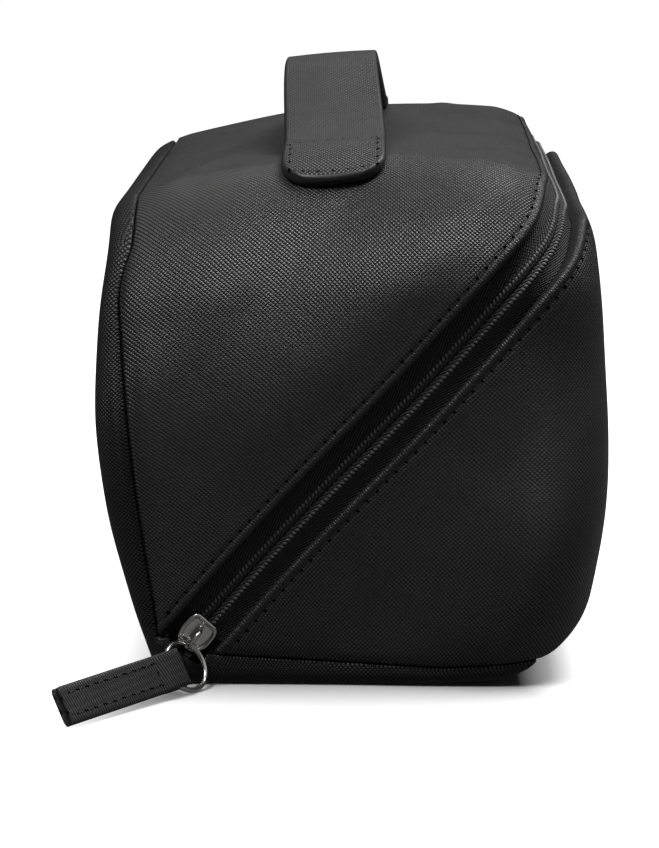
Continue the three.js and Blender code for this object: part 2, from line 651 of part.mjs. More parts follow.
// The bridge on the slider, open under its bar for the ring
const wireHeight = plateFront + RUNNING_GAP + RING_LEAN_ROOM + RING_WIRE / 2;
const barBottom = wireHeight + RING_WIRE / 2 + RING_ROOM_ABOVE;
const bridgeStart = -halfSlider + halfSeam;
const bridgeBlock = block(
  [bridgeStart, -BRIDGE_WIDTH / 2, plateBack],
  [bridgeStart + BRIDGE_LENGTH, BRIDGE_WIDTH / 2, barBottom + BRIDGE_BAR],
);
const bridgeHole = block(
  [bridgeStart + BRIDGE_LEG, -BRIDGE_WIDTH, plateFront],
  [bridgeStart + BRIDGE_LENGTH - BRIDGE_LEG, BRIDGE_WIDTH, barBottom],
);
const sliderBody = [baseFlange, lidFlange, lowerPlate, neck, bridgeBlock.subtract(bridgeHole)]
  .reduce((whole, piece) => whole.add(piece), upperPlate);
addSolid('slider_body', sliderBody, metal, slider);

// Ring and tab share one frame: local X along the tab, local Y down across it, local Z off its face
const pull = new THREE.Group();
pull.rotation.set(
  degrees(TAB_ROLL_DEGREES),
  degrees(TAB_DROP_DEGREES),
  degrees(TAB_HEADING_DEGREES),
  'ZYX',
);
const ringTurn = degrees(RING_TURN_DEGREES);
const wireFromCentre = new THREE.Vector3(Math.cos(ringTurn), Math.sin(ringTurn), 0)
  .multiplyScalar(RING_RADIUS)
  .applyEuler(pull.rotation);
const wireAlong = SLIDER_START + RING_WIRE_FROM_MOUTH;
const wireAtBridge = zipPoint([wireAlong, 0], END_ANGLE, -HALF_LENGTH - wireHeight);
pull.position.copy(wireAtBridge).sub(wireFromCentre);
bag.add(pull);

const ring = new THREE.Mesh(new THREE.TorusGeometry(RING_RADIUS, RING_WIRE / 2, RING_WIRE_STEPS, RING_STEPS), metal);
ring.name = 'pull_ring';
pull.add(ring);

// Tab: one leather strip folded round the ring, its two layers lying on each other beyond it
const tabEnd = TAB_START + TAB_LENGTH;
const tunnelStart = TAB_START + TAB_LEATHER;
const tunnelEnd = tunnelStart + TAB_TUNNEL_LENGTH;
const tunnelHalf = TAB_TUNNEL_HEIGHT / 2;
const slitHalf = TAB_LAYER_GAP / 2;
const upperHalf = [
  [TAB_START, tunnelHalf], [tunnelStart, tunnelHalf + TAB_LEATHER], [tunnelEnd, tunnelHalf + TAB_LEATHER],
  [tunnelEnd + TAB_TAPER, slitHalf + TAB_LEATHER], [tabEnd, slitHalf + TAB_LEATHER], [tabEnd, slitHalf],
  [tunnelEnd + TAB_TAPER, slitHalf], [tunnelEnd, tunnelHalf], [tunnelStart, tunnelHalf],
];
const lowerHalf = upperHalf.map(([x, z]) => [x, -z]).toReversed();
const tabShape = new THREE.Shape([...upperHalf, ...lowerHalf].map(([x, z]) => new THREE.Vector2(x, z)));
const tabGeometry = new THREE.ExtrudeGeometry(tabShape, { depth: TAB_WIDTH, bevelEnabled: false });
tabGeometry.rotateX(Math.PI / 2);
tabGeometry.translate(0, TAB_WIDTH / 2, 0);
const tab = new THREE.Mesh(tabGeometry, tabLeather);
tab.name = 'pull_tab';
pull.add(tab);

export default bag;
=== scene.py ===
"""Looks of the cosmetic bag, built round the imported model.

Lengths are millimetres and the frame is the CAD's until make() turns a piece into metres. X runs across the near
end, Y from the near end (negative) to the far one, Z up. Distances in materials are metres where they are bumps
and millimetres where they are laid over a piece's texture places.
"""
import math

import bpy
import numpy as np
from mathutils import Euler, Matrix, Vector
from mathutils.bvhtree import BVHTree
from mathutils.kdtree import KDTree


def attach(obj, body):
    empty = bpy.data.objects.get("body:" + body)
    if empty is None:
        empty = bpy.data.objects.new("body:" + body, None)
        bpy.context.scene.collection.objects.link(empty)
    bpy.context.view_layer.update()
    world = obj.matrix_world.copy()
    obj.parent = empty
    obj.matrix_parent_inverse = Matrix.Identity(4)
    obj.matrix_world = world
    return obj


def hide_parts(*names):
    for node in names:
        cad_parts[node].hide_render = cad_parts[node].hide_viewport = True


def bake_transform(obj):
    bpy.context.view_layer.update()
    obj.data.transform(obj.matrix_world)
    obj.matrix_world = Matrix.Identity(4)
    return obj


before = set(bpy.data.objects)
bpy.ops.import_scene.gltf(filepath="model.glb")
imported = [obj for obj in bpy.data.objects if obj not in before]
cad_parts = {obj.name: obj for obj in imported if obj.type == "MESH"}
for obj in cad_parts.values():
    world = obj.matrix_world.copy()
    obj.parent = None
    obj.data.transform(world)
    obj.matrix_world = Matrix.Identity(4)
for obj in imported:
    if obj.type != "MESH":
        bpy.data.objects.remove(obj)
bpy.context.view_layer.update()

MM = 0.001
HALF_ROUND = 200.0  # texture places that differ by more lie on either side of the ring's start
ALONG, UPRIGHT = [0, 1], [2, 3]  # columns of texture places: round the whole bag, or up each wall

# The bag's outer surface, with the same values as the CAD source
HALF_LENGTH, HALF_WIDTH, HEIGHT = 117.5, 66.0, 139.5
TOP_BEND, BOTTOM_BEND, LEFT_CORNER, RIGHT_CORNER, SMALLEST_BEND = 34.0, 3.5, 7.3, 22.0, 0.5
LEFT_WALL = (1.9, 88.5, 16.5, 4.5)
RIGHT_WALL = (3.5, 58.0, 11.0, 6.0)
SIDE_SWELL, CROWN_X, LEFT_SAG, RIGHT_SAG, END_SWELL = 2.5, 16.8, 7.6, 5.0, 4.6
FOOT_LIFT, FOOT_LIFT_FROM = 2.8, 20.0
VALLEY_HALF, VALLEY_SLOPE = 28.0, 34.0
LEAN, LEAN_START, LEAN_CURVE, LEAN_FROM_ZIP, LEAN_SLOPE = 11.0, 38.0, 1.6, 18.0, 31.5
HINGE_X, HINGE_Z = -48.3, 5.5
END_ANGLE = math.atan2(HEIGHT - 14.4 - HINGE_Z, 106.0)
EDGE_ANGLE = math.atan2(HEIGHT - 9.5 - HINGE_Z, 106.0)
TURN_START, TURN_END, TURN_MARGIN = 22.0, 7.2, 3.0
HEM_EDGE = 6.75

# Forms that only the scene has: the rolled upper edge of the near end, the zip's wander, the seams' curves
ROLL, ROLL_START, ROLL_REACH, ROLL_LIMIT, ROLL_FADE = 4.8, 58.0, 46.0, 1.4, 2.5
WANDER, WANDER_START, WANDER_RUN = 1.35, 55.0, 50.0
SWAY, SWAY_MIDDLE, SWAY_REACH = 0.35, 38.0, 34.0
BOTTOM_SEAM_X, BOTTOM_SEAM_Z = [-48, -30, 0, 26, 48, 75], [9.0, 7.9, 6.4, 5.2, 6.6, 7.6]
SEAM_FOOT_Z, SEAM_TOP_X = 12.8, -58.9
SEAM_Z = [12.8, 23.5, 34.6, 51.2, 74.0, 97.6, 107.8, 116.5, 120.5, 125.8, 129.2, 131.5, 160.0]
SEAM_X = [-51.6, -52.7, -54.5, -56.8, -59.2, -61.4, -63.2, -64.8, -64.0, -60.8, -58.2, -56.7, -56.4]


def smooth(t):
    t = np.clip(t, 0.0, 1.0)
    return t * t * (3.0 - 2.0 * t)


def lerp(a, b, t):
    return a + (b - a) * t


def unit(v):
    return v / np.maximum(np.linalg.norm(v, axis=-1, keepdims=True), 1e-9)


def in_plane(vectors, normals):
    """The part of each vector that lies along the surface."""
    return vectors - (vectors * normals).sum(1, keepdims=True) * normals


def run_along(points):
    """The length of a line of points from its first point to each."""
    return np.concatenate([[0], np.cumsum(np.linalg.norm(np.diff(points, axis=0), axis=1))])


def at_runs(points, run, where):
    """Places on a line of points at the given lengths along it."""
    return np.column_stack([np.interp(where, run, points[:, axis]) for axis in range(points.shape[1])])


def polyline(corners, count):
    """Points along the straight legs between corners, the same number on each leg."""
    legs = [[np.linspace(*pair, count) for pair in zip(a, b)] for a, b in zip(corners, corners[1:])]
    return np.concatenate([np.column_stack(leg) for leg in legs])


def tube_quads(lines, count, turned=False, closed=False):
    """Quads between rings of points; closed joins the last ring to the first, turned faces them the other way."""
    i, j = np.meshgrid(np.arange(lines if closed else lines - 1), np.arange(count), indexing="ij")
    k, m = (j + 1) % count, (i + 1) % lines
    quad = [i * count + j, m * count + j, m * count + k, i * count + k]
    return np.stack([quad[0], quad[3], quad[2], quad[1]] if turned else quad, -1).reshape(-1, 4)


def tube_faces(lines, count, turned=False):
    """The quads of a tube and a face over each end."""
    caps = [tuple(range(count)), tuple(range((lines - 1) * count, lines * count))[::-1]]
    if turned:
        caps = [cap[::-1] for cap in caps]
    return [tuple(quad) for quad in tube_quads(lines, count, turned)] + caps


def plane_distance(x, z, angle=END_ANGLE):
    return (z - HINGE_Z) * np.cos(angle) - (x - HINGE_X) * np.sin(angle)


def soften(p):
    """Moves points of the plain box to their places on the soft bag."""
    x, y, z = p[..., 0], p[..., 1], p[..., 2]
    height = np.clip(z / HEIGHT, 0, 1)
    hump = 4 * height * (1 - height)
    swell = SIDE_SWELL * hump * (1 - np.minimum((y / HALF_LENGTH) ** 2, 1))
    out, belly, foot, shoulder = [np.where(x < 0, a, b) for a, b in zip(LEFT_WALL, RIGHT_WALL)]
    drop = np.where(z < belly, foot, shoulder)
    reach = np.where(z < belly, belly, HEIGHT - belly)
    shift = out - drop * ((z - belly) / reach) ** 2
    new_x = x + np.sign(x) * (shift + swell) * smooth(np.abs(x) / HALF_WIDTH)
    sag = np.where(new_x < CROWN_X, LEFT_SAG, RIGHT_SAG)
    lift = FOOT_LIFT * (1 - height) * smooth((new_x - FOOT_LIFT_FROM) / (HALF_WIDTH - FOOT_LIFT_FROM))
    new_z = z + lift - sag * ((new_x - CROWN_X) / HALF_WIDTH) ** 2 * smooth(z / HEIGHT)
    valley = np.abs(plane_distance(new_x, new_z)) - VALLEY_HALF
    bulge = END_SWELL * np.sqrt(hump) * smooth(valley / VALLEY_SLOPE)
    rise = np.maximum(0, (z - LEAN_START) / (HEIGHT - LEAN_START))
    roll = np.clip((z - ROLL_START) / ROLL_REACH, 0, ROLL_LIMIT)
    roll = np.where(roll < 1, roll ** 2, 1 + 2 * (roll - 1) - ROLL_FADE * (roll - 1) ** 2)
    beside_zip_line = smooth((plane_distance(new_x, new_z) - LEAN_FROM_ZIP) / LEAN_SLOPE)
    lean = (LEAN * rise ** LEAN_CURVE + ROLL * roll) * beside_zip_line
    new_y = y + np.sign(y) * (bulge - lean) * smooth(np.abs(y) / HALF_LENGTH)
    return np.stack([new_x, new_y, new_z], axis=-1)


def zip_angle(y):
    """Angle of the zip's plane about the hinge, from the long edge over to the ends."""
    past = np.abs(y) - (HALF_LENGTH - TURN_START - TURN_MARGIN)
    return lerp(EDGE_ANGLE, END_ANGLE, smooth(past / (TURN_START - TURN_END + 2 * TURN_MARGIN)))


def zip_across(p):
    """Distance from the middle of the zip, positive on the lid's side; the zip wanders a little."""
    across = plane_distance(p[..., 0], p[..., 2], zip_angle(p[..., 1]))
    up = zip_along(p)
    wander = WANDER * smooth((up - WANDER_START) / WANDER_RUN)
    return across + wander - SWAY * smooth(1 - np.abs(up - SWAY_MIDDLE) / SWAY_REACH)


def zip_along(p):
    """Distance from the hinge along the zip's plane."""
    angle = zip_angle(p[..., 1])
    return (p[..., 0] - HINGE_X) * np.cos(angle) + (p[..., 2] - HINGE_Z) * np.sin(angle)


def bottom_seam(p):
    """Height above the seam between the base and the bottom."""
    return p[..., 2] - np.interp(p[..., 0], BOTTOM_SEAM_X, BOTTOM_SEAM_Z)


def lid_seam(p):
    """Distance inside the lid's piece from its seam with the side panel."""
    z = p[..., 2]
    near_end = np.interp(z, SEAM_Z, SEAM_X)
    right = p[..., 0] - lerp(near_end, np.maximum(near_end, SEAM_TOP_X), smooth((108 - np.abs(p[..., 1])) / 14))
    lean = (np.interp(z + 2, SEAM_Z, SEAM_X) - np.interp(z - 2, SEAM_Z, SEAM_X)) / 4
    return np.minimum(right / np.sqrt(1 + lean ** 2), z - SEAM_FOOT_Z)


class Shell:
    """A mesh as arrays: points, texture places, quads, and other polygons where a cut runs."""

    def __init__(self, points, places, quads, polys=()):
        self.points, self.places, self.quads, self.polys = points, places, quads, list(polys)


OUTLINE_STEPS = (67, 112, 18, 3)  # steps up a wall, over the top, round half a top bend and half a bottom bend
ACROSS_STEPS = (11, 64, 25)  # steps round the left edge, over the width, round the right edge


def box_outline(inset, fine):
    """One ring in Y and Z of the plain box from the middle of the near bottom bend, up the near wall."""
    wall, top, big, small = [max(2, round(n * fine)) for n in OUTLINE_STEPS]
    bottom = top + 2 * big - 2 * small
    top_r, bottom_r = max(TOP_BEND - inset, SMALLEST_BEND), max(BOTTOM_BEND - inset, SMALLEST_BEND)
    end, high = HALF_LENGTH - inset, HEIGHT - inset
    points = []

    def arc(y, z, r, a0, a1, count):
        for a in np.linspace(a0, a1, count + 1)[:-1]:
            points.append((y + r * math.cos(a), z + r * math.sin(a)))

    def line(p, q, count):
        for t in np.linspace(0, 1, count + 1)[:-1]:
            points.append((lerp(p[0], q[0], t), lerp(p[1], q[1], t)))

    q = math.pi / 4
    arc(-end + bottom_r, inset + bottom_r, bottom_r, 5 * q, 4 * q, small)
    line((-end, inset + bottom_r), (-end, high - top_r), wall)
    arc(-end + top_r, high - top_r, top_r, 4 * q, 3 * q, big)
    side = len(points)
    arc(-end + top_r, high - top_r, top_r, 3 * q, 2 * q, big)
    line((-end + top_r, high), (end - top_r, high), top)
    arc(end - top_r, high - top_r, top_r, 2 * q, q, big)
    over = len(points) - side
    arc(end - top_r, high - top_r, top_r, q, 0, big)
    line((end, high - top_r), (end, inset + bottom_r), wall)
    arc(end - bottom_r, inset + bottom_r, bottom_r, 0, -q, small)
    arc(end - bottom_r, inset + bottom_r, bottom_r, -q, -2 * q, small)
    line((end - bottom_r, inset), (-end + bottom_r, inset), bottom)
    arc(-end + bottom_r, inset + bottom_r, bottom_r, 6 * q, 5 * q, small)
    points = np.array(points)
    return points, side, over, len(points) - 2 * side - over


def bag_shell(depth=0.0, fine=1.0):
    """The whole bag's surface at one depth, closed, softened and with a little natural unevenness."""
    left_r, right_r = max(LEFT_CORNER - depth, SMALLEST_BEND), max(RIGHT_CORNER - depth, SMALLEST_BEND)
    edge = HALF_WIDTH - depth
    left, over_width, right = [round(n * fine) for n in ACROSS_STEPS]
    stations = []
    for a in np.linspace(math.pi / 2, 0, max(3, left) + 1)[:-1]:
        bent = -edge + left_r
        stations.append((bent - left_r * math.sin(a), left_r * (1 - math.cos(a)), bent - left_r * a))
    for x in np.linspace(-edge + left_r, edge - right_r, over_width + 1)[:-1]:
        stations.append((x, 0.0, x))
    for a in np.linspace(0, math.pi / 2, max(4, right) + 1):
        bent = edge - right_r
        stations.append((bent + right_r * math.sin(a), right_r * (1 - math.cos(a)), bent + right_r * a))
    base, side, over, under = box_outline(depth, fine)
    steps = np.linalg.norm(np.roll(base, -1, 0) - base, axis=1)
    around = np.concatenate([[0], np.cumsum(steps)])
    count, rings = len(base), len(stations)
    points, places = [], []
    for x, inset, run in stations:
        ring = box_outline(depth + inset, fine)[0]
        points.append(np.column_stack([np.full(count, x), ring]))
        run = np.full(count, float(run))
        places.append(np.column_stack([run, around[:-1], run, ring[:, 1]]))
    points, places = np.concatenate(points), np.concatenate(places)
    quads = [tube_quads(rings, count)]
    # Both side faces, each a patch between the four sides of the end ring
    for ring_index, turned in ((0, True), (rings - 1, False)):
        start = ring_index * count
        near = start + np.arange(0, side + 1)
        top = start + np.arange(side, side + over + 1)
        far = start + np.arange(side + over, 2 * side + over + 1)[::-1]
        bottom = start + (np.arange(2 * side + over, 2 * side + over + under + 1) % count)[::-1]
        grid = np.zeros((over + 1, side + 1), int)
        grid[0], grid[-1], grid[:, -1], grid[:, 0] = near, far, top, bottom
        u, v = np.linspace(0, 1, over + 1)[:, None, None], np.linspace(0, 1, side + 1)[None, :, None]
        pn, pf, pt, pb = points[near][None], points[far][None], points[top][:, None], points[bottom][:, None]
        corners = lerp(lerp(pn[:, :1], pn[:, -1:], v), lerp(pf[:, :1], pf[:, -1:], v), u)
        patch = lerp(pb, pt, v) + lerp(pn, pf, u) - corners
        first = len(points)
        inner = patch[1:-1, 1:-1].reshape(-1, 3)
        grid[1:-1, 1:-1] = first + np.arange(len(inner)).reshape(over - 1, side - 1)
        radius = left_r if turned else right_r
        run = edge - radius + radius * math.pi / 2 + (inner[:, 1] + HALF_LENGTH - depth - radius)
        run = -run if turned else run
        points = np.concatenate([points, inner])
        places = np.concatenate([places, np.column_stack([run, inner[:, 2], run, inner[:, 2]])])
        a, b, c, d = grid[:-1, :-1], grid[1:, :-1], grid[1:, 1:], grid[:-1, 1:]
        face = np.stack([a, b, c, d], -1).reshape(-1, 4)
        quads.append(face[:, ::-1] if turned else face)
    shell = Shell(soften(points), places, np.concatenate(quads))
    shell.points = shell.points + (unevenness(shell.points) - seam_valley(shell.points)) * normals_of(shell)
    shell.around = around[-1]
    return shell


# Creases over the top: points along each in X and Y, its height and its half width
CREASES = [([(14, 100), (26.4, 82.9), (38.4, 44.9), (49.3, 3.4), (54, -14)], 0.5, 3.2),
           ([(20, 52), (27.3, 32.3), (40.3, 1.2), (51.1, -28.1)], 0.45, 3.0),
           ([(-21.9, -9.2), (-32.7, -29.9), (-42.9, -52.5), (-48, -75), (-50, -92)], 0.5, 3.5),
           ([(-20, 20), (-40, -8), (-56, -30)], -0.4, 5.0)]

# Bulges and hollows of the near end: place across and up, height and reach
DENTS = [(48, 43, 1.8, 20), (54, 90, -1.2, 13), (-35, 108, 0.8, 14), (-42, 60, -0.8, 18), (61, 16, 1.4, 13)]
TOP_FROM = HEIGHT - 25
CROWN, CROWN_MIDDLE, CROWN_REACH = 1.4, -8.0, 38.0
PILLOW, PILLOW_HEIGHT, PILLOW_REACH = 1.9, 122.0, 18.0
LID_VALLEY, LID_VALLEY_REACH = 1.6, 2.2
BASE_VALLEY, BASE_VALLEY_REACH = 0.7, 1.5


def from_line(x, y, line):
    """Distance in plan from a line of points, and the share along it."""
    best, share = np.full(x.shape, 1e3), np.zeros(x.shape)
    for n, (a, b) in enumerate(zip(np.array(line, float)[:-1], np.array(line, float)[1:])):
        t = np.clip(((x - a[0]) * (b[0] - a[0]) + (y - a[1]) * (b[1] - a[1])) / ((b - a) ** 2).sum(), 0, 1)
        far = np.hypot(x - lerp(a[0], b[0], t), y - lerp(a[1], b[1], t))
        share = np.where(far < best, (n + t) / (len(line) - 1), share)
        best = np.minimum(best, far)
    return best, share


def unevenness(p):
    """How far each point stands out: slow waves, the near end's dents, the top's crown and creases, a pillow."""
    x, y, z = p[..., 0], p[..., 1], p[..., 2]
    wave = 0.22 * np.sin(x / 17 + y / 29 + 1.3) * np.sin(z / 21 - y / 37 + 0.4)
    wave += 0.12 * np.sin(x / 7.5 - z / 9.5 + 2.1) * np.sin(y / 13 + z / 11)
    wave = wave * smooth((z - 1) / 14)
    for across, up, high, reach in DENTS:
        wave = wave + high * np.exp(-((x - across) ** 2 + (z - up) ** 2) / reach ** 2) * smooth((-y - 60) / 30)
    wave = wave + CROWN * np.exp(-((x - CROWN_MIDDLE) / CROWN_REACH) ** 2) * smooth((y - 10) / 70) * (z > TOP_FROM)
    pillow = smooth((2.5 - lid_seam(p)) / 9) * smooth(1 - np.abs(z - PILLOW_HEIGHT) / PILLOW_REACH) * (x < -40)
    wave = wave + PILLOW * pillow * smooth((y + 100) / 40)
    for line, high, reach in CREASES:
        far, share = from_line(x, y, line)
        wave = wave + high * np.exp(-(far / reach) ** 2) * np.sin(math.pi * share) * (z > TOP_FROM)
    return wave[..., None]


def seam_valley(p):
    """Depth of the broad dip along the seams of the lid and of the base."""
    low = (0.3 + 0.7 * smooth((128 - p[..., 2]) / 12)) * smooth((p[..., 2] - 8) / 8)
    lid = LID_VALLEY * np.exp(-(lid_seam(p) / LID_VALLEY_REACH) ** 2) * low
    lid = lid * (p[..., 0] < -30) * (zip_across(p) > 3)
    base = BASE_VALLEY * np.exp(-(bottom_seam(p) / BASE_VALLEY_REACH) ** 2)
    base = base * (zip_across(p) < -3) * (p[..., 2] > 2.5)
    return (lid + base)[..., None]


def normals_of(shell):
    p, q = shell.points, shell.quads
    face = np.cross(p[q[:, 2]] - p[q[:, 0]], p[q[:, 3]] - p[q[:, 1]])
    total = np.zeros_like(p)
    for corner in range(4):
        for axis in range(3):
            total[:, axis] += np.bincount(q[:, corner], face[:, axis], len(p))
    return unit(total)


class Surface:
    """Nearest places on a shell, with smooth normals and texture places."""

    def __init__(self, shell):
        self.shell, self.normals = shell, normals_of(shell)
        self.tree = BVHTree.FromPolygons(shell.points.tolist(), shell.quads.tolist())

    def at(self, points):
        found = [self.tree.find_nearest(Vector(p)) for p in points]
        place = np.array([f[0] for f in found])
        quad = self.shell.quads[[f[2] for f in found]]
        corner = self.shell.points[quad]
        e1 = (corner[:, 1] - corner[:, 0] + corner[:, 2] - corner[:, 3]) / 2
        e2 = (corner[:, 3] - corner[:, 0] + corner[:, 2] - corner[:, 1]) / 2
        offset = place - corner.mean(1)
        g11, g12, g22 = (e1 * e1).sum(1), (e1 * e2).sum(1), (e2 * e2).sum(1)
        r1, r2 = (offset * e1).sum(1), (offset * e2).sum(1)
        det = np.maximum(g11 * g22 - g12 * g12, 1e-9)
        a = np.clip((r1 * g22 - r2 * g12) / det + 0.5, 0, 1)
        b = np.clip((r2 * g11 - r1 * g12) / det + 0.5, 0, 1)
        weight = np.stack([(1 - a) * (1 - b), a * (1 - b), a * b, (1 - a) * b], 1)[..., None]
        return place, unit((self.normals[quad] * weight).sum(1)), self.places_at(quad, weight)

    def places_at(self, quad, weight):
        value = self.shell.places[quad]
        jump = np.ptp(value[:, :, 1], axis=1) > HALF_ROUND
        value[jump, :, 1] += np.where(value[jump, :, 1] < HALF_ROUND, self.shell.around, 0)
        return (value * weight).sum(1)


def gradient(field, points, step=0.05):
    """Slope of a field at each point, by differences."""
    moved = []
    for axis in range(3):
        offset = np.zeros(3)
        offset[axis] = step
        moved.append((field(points + offset) - field(points - offset)) / (2 * step))
    return np.stack(moved, -1)


def clip(shell, field):
    """Keeps the part where the field is positive; returns it with the directed edges of the cut."""
    value = field(shell.points)
    value = np.where(np.abs(value) < 1e-5, 1e-5, value)
    inside = value > 0
    state = inside[shell.quads]
    whole, part = state.all(1), state.any(1)
    part &= ~whole
    points, places, polys, edges, cuts = [], [], [], [], {}

    def cut(a, b):
        key = (a, b) if a < b else (b, a)
        if key not in cuts:
            t = value[a] / (value[a] - value[b])
            cuts[key] = len(shell.points) + len(points)
            points.append(lerp(shell.points[a], shell.points[b], t))
            places.append(lerp(shell.places[a], shell.places[b], t))
        return cuts[key]

    for face in [tuple(f) for f in shell.quads[part]] + shell.polys:
        state = [inside[i] for i in face]
        if all(state):
            polys.append(face)
            continue
        if not any(state):
            continue
        out, crossed = [], []
        for n, a in enumerate(face):
            b = face[(n + 1) % len(face)]
            if inside[a]:
                out.append(a)
            if inside[a] != inside[b]:
                out.append(cut(a, b))
                crossed.append((inside[a], out[-1]))
        if len(crossed) == 2:
            leave, enter = sorted(crossed, key=lambda c: not c[0])
            edges.append((leave[1], enter[1]))
        polys.append(tuple(out))
    points, places = np.concatenate([shell.points, points]), np.concatenate([shell.places, places])
    return Shell(points, places, shell.quads[whole], polys), edges


def extend(shell, edges, rows):
    """Adds rows of quads along cut edges; rows(points) gives the lists of points and places, row by row."""
    used = sorted({v for edge in edges for v in edge})
    slot = {v: n for n, v in enumerate(used)}
    before = np.array(used)
    quads = []
    for points, places in rows(shell.points[used], shell.places[used]):
        start = len(shell.points)
        shell.points = np.concatenate([shell.points, points])
        shell.places = np.concatenate([shell.places, places])
        after = start + np.arange(len(used))
        for a, b in edges:
            quads.append((before[slot[b]], before[slot[a]], after[slot[a]], after[slot[b]]))
        before = after
    shell.quads = np.concatenate([shell.quads, np.array(quads)])
    return shell


EDGE_ROLL = [(0.35, -0.07), (0.62, -0.27), (0.8, -0.6), (0.85, -1.0), (0.8, -1.7)]


def seam_roll(shell, edges, field, surface, profile=EDGE_ROLL):
    """Turns a cut edge down into its seam."""

    def rows(points, places):
        place, normal, _ = surface.at(points)
        slope = unit(in_plane(-gradient(field, points), normal))
        return [(points + slope * reach + normal * drop, places + 0.0) for reach, drop in profile]
    return extend(shell, edges, rows)


# The hem beside the zip: distance from its edge and height, then the turned edge going down
HEM_ROWS = [(6.25, 0), (5.2, 0.06), (4.2, 0.1), (3.5, 0.06), (3.05, -0.05), (2.75, -0.1), (2.45, -0.04),
            (2.1, 0.1), (1.7, 0.22), (1.25, 0.25), (0.85, 0.14), (0.5, -0.06), (0.28, -0.36), (0.1, -0.75),
            (0.0, -1.2), (0.02, -1.9), (0.2, -2.7), (0.35, -3.4), (0.4, -4.2)]


def hem(shell, edges, side, surface):
    """Carries a cut edge on to the zip as a folded, sewn hem."""

    def rows(points, places):
        result = []
        here, (last, _) = points, HEM_ROWS[0]
        for reach, lift in HEM_ROWS[1:]:
            here, normal, places_here = surface.at(here)
            flat = in_plane(-side * gradient(zip_across, here), normal)
            size = np.linalg.norm(flat, axis=1, keepdims=True)
            here = here + flat / size * (last - reach) / size
            here, normal, places_here = surface.at(here)
            last = reach
            result.append((here + normal * lift, places_here))
        return result
    return extend(shell, edges, rows)


def make(name, points, faces, material, places=None, attributes=None):
    """A Blender mesh object from millimetre points, with unused points left out."""
    flat = np.concatenate([np.asarray(face) for face in faces])
    used = np.unique(flat)
    index = np.full(len(points), -1)
    index[used] = np.arange(len(used))
    sizes = np.array([len(face) for face in faces])
    mesh = bpy.data.meshes.new(name)
    mesh.vertices.add(len(used))
    mesh.vertices.foreach_set("co", (points[used] * MM).astype(np.float32).ravel())
    mesh.loops.add(len(flat))
    mesh.loops.foreach_set("vertex_index", index[flat].astype(np.int32))
    mesh.polygons.add(len(sizes))
    mesh.polygons.foreach_set("loop_start", np.concatenate([[0], np.cumsum(sizes)[:-1]]).astype(np.int32))
    if places is not None:
        layer = mesh.uv_layers.new(name="places")
        layer.data.foreach_set("uv", places[flat].astype(np.float32).ravel())
    mesh.update(calc_edges=True)
    mesh.validate()
    mesh.polygons.foreach_set("use_smooth", np.full(len(mesh.polygons), True))
    for key, values in (attributes or {}).items():
        layer = mesh.attributes.new(key, "FLOAT", "POINT")
        layer.data.foreach_set("value", values[used].astype(np.float32))
    mesh.materials.append(material)
    piece = bpy.data.objects.new(name, mesh)
    bpy.context.collection.objects.link(piece)
    return piece


def shell_piece(name, shell, material, columns, attributes=None):
    """A piece from a shell, with its texture laid by two of the four columns of places."""
    return make(name, shell.points, [*shell.quads, *shell.polys], material, shell.places[:, columns], attributes)


# Materials
class Nodes:
    """Short names for building node trees."""

    def __init__(self, tree):
        self.tree = tree

    def add(self, kind, **settings):
        node = self.tree.nodes.new(kind)
        for key, value in settings.items():
            setattr(node, key, value)
        return node

    def put(self, socket, value):
        if isinstance(value, bpy.types.NodeSocket):
            self.tree.links.new(value, socket)
        elif value is not None:
            socket.default_value = value

    def connect(self, shader, **values):
        for key, value in values.items():
            self.put(shader.inputs[key.replace("_", " ")], value)

    def math(self, operation, a, b=None, c=None):
        node = self.add("ShaderNodeMath", operation=operation)
        for socket, value in zip(node.inputs, (a, b, c)):
            self.put(socket, value)
        return node.outputs[0]

    def noise(self, vector, scale, detail=2.0, roughness=0.5):
        node = self.add("ShaderNodeTexNoise")
        self.put(node.inputs["Vector"], vector)
        self.put(node.inputs["Scale"], scale)
        self.put(node.inputs["Detail"], detail)
        self.put(node.inputs["Roughness"], roughness)
        return node.outputs["Fac"]

    def spread(self, value, low, high, to_low=0.0, to_high=1.0):
        node = self.add("ShaderNodeMapRange")
        for socket, item in zip(node.inputs, (value, low, high, to_low, to_high)):
            self.put(socket, item)
        return node.outputs[0]

    def blend(self, share, a, b):
        node = self.add("ShaderNodeMix", data_type="RGBA")
        self.put(node.inputs[0], share)
        self.put(node.inputs[6], (*a, 1) if isinstance(a, tuple) else a)
        self.put(node.inputs[7], (*b, 1) if isinstance(b, tuple) else b)
        return node.outputs[2]

    def bump(self, height, distance, normal=None, strength=1.0):
        node = self.add("ShaderNodeBump")
        self.put(node.inputs["Strength"], strength)
        self.put(node.inputs["Distance"], distance)
        self.put(node.inputs["Height"], height)
        self.put(node.inputs["Normal"], normal)
        return node.outputs[0]


def new_material(name, color, roughness, **values):
    material = bpy.data.materials.new(name)
    material.use_nodes = True
    nodes = Nodes(material.node_tree)
    shader = nodes.tree.nodes["Principled BSDF"]
    nodes.connect(shader, Base_Color=(*color, 1), Roughness=roughness, **values)
    return material, nodes, shader


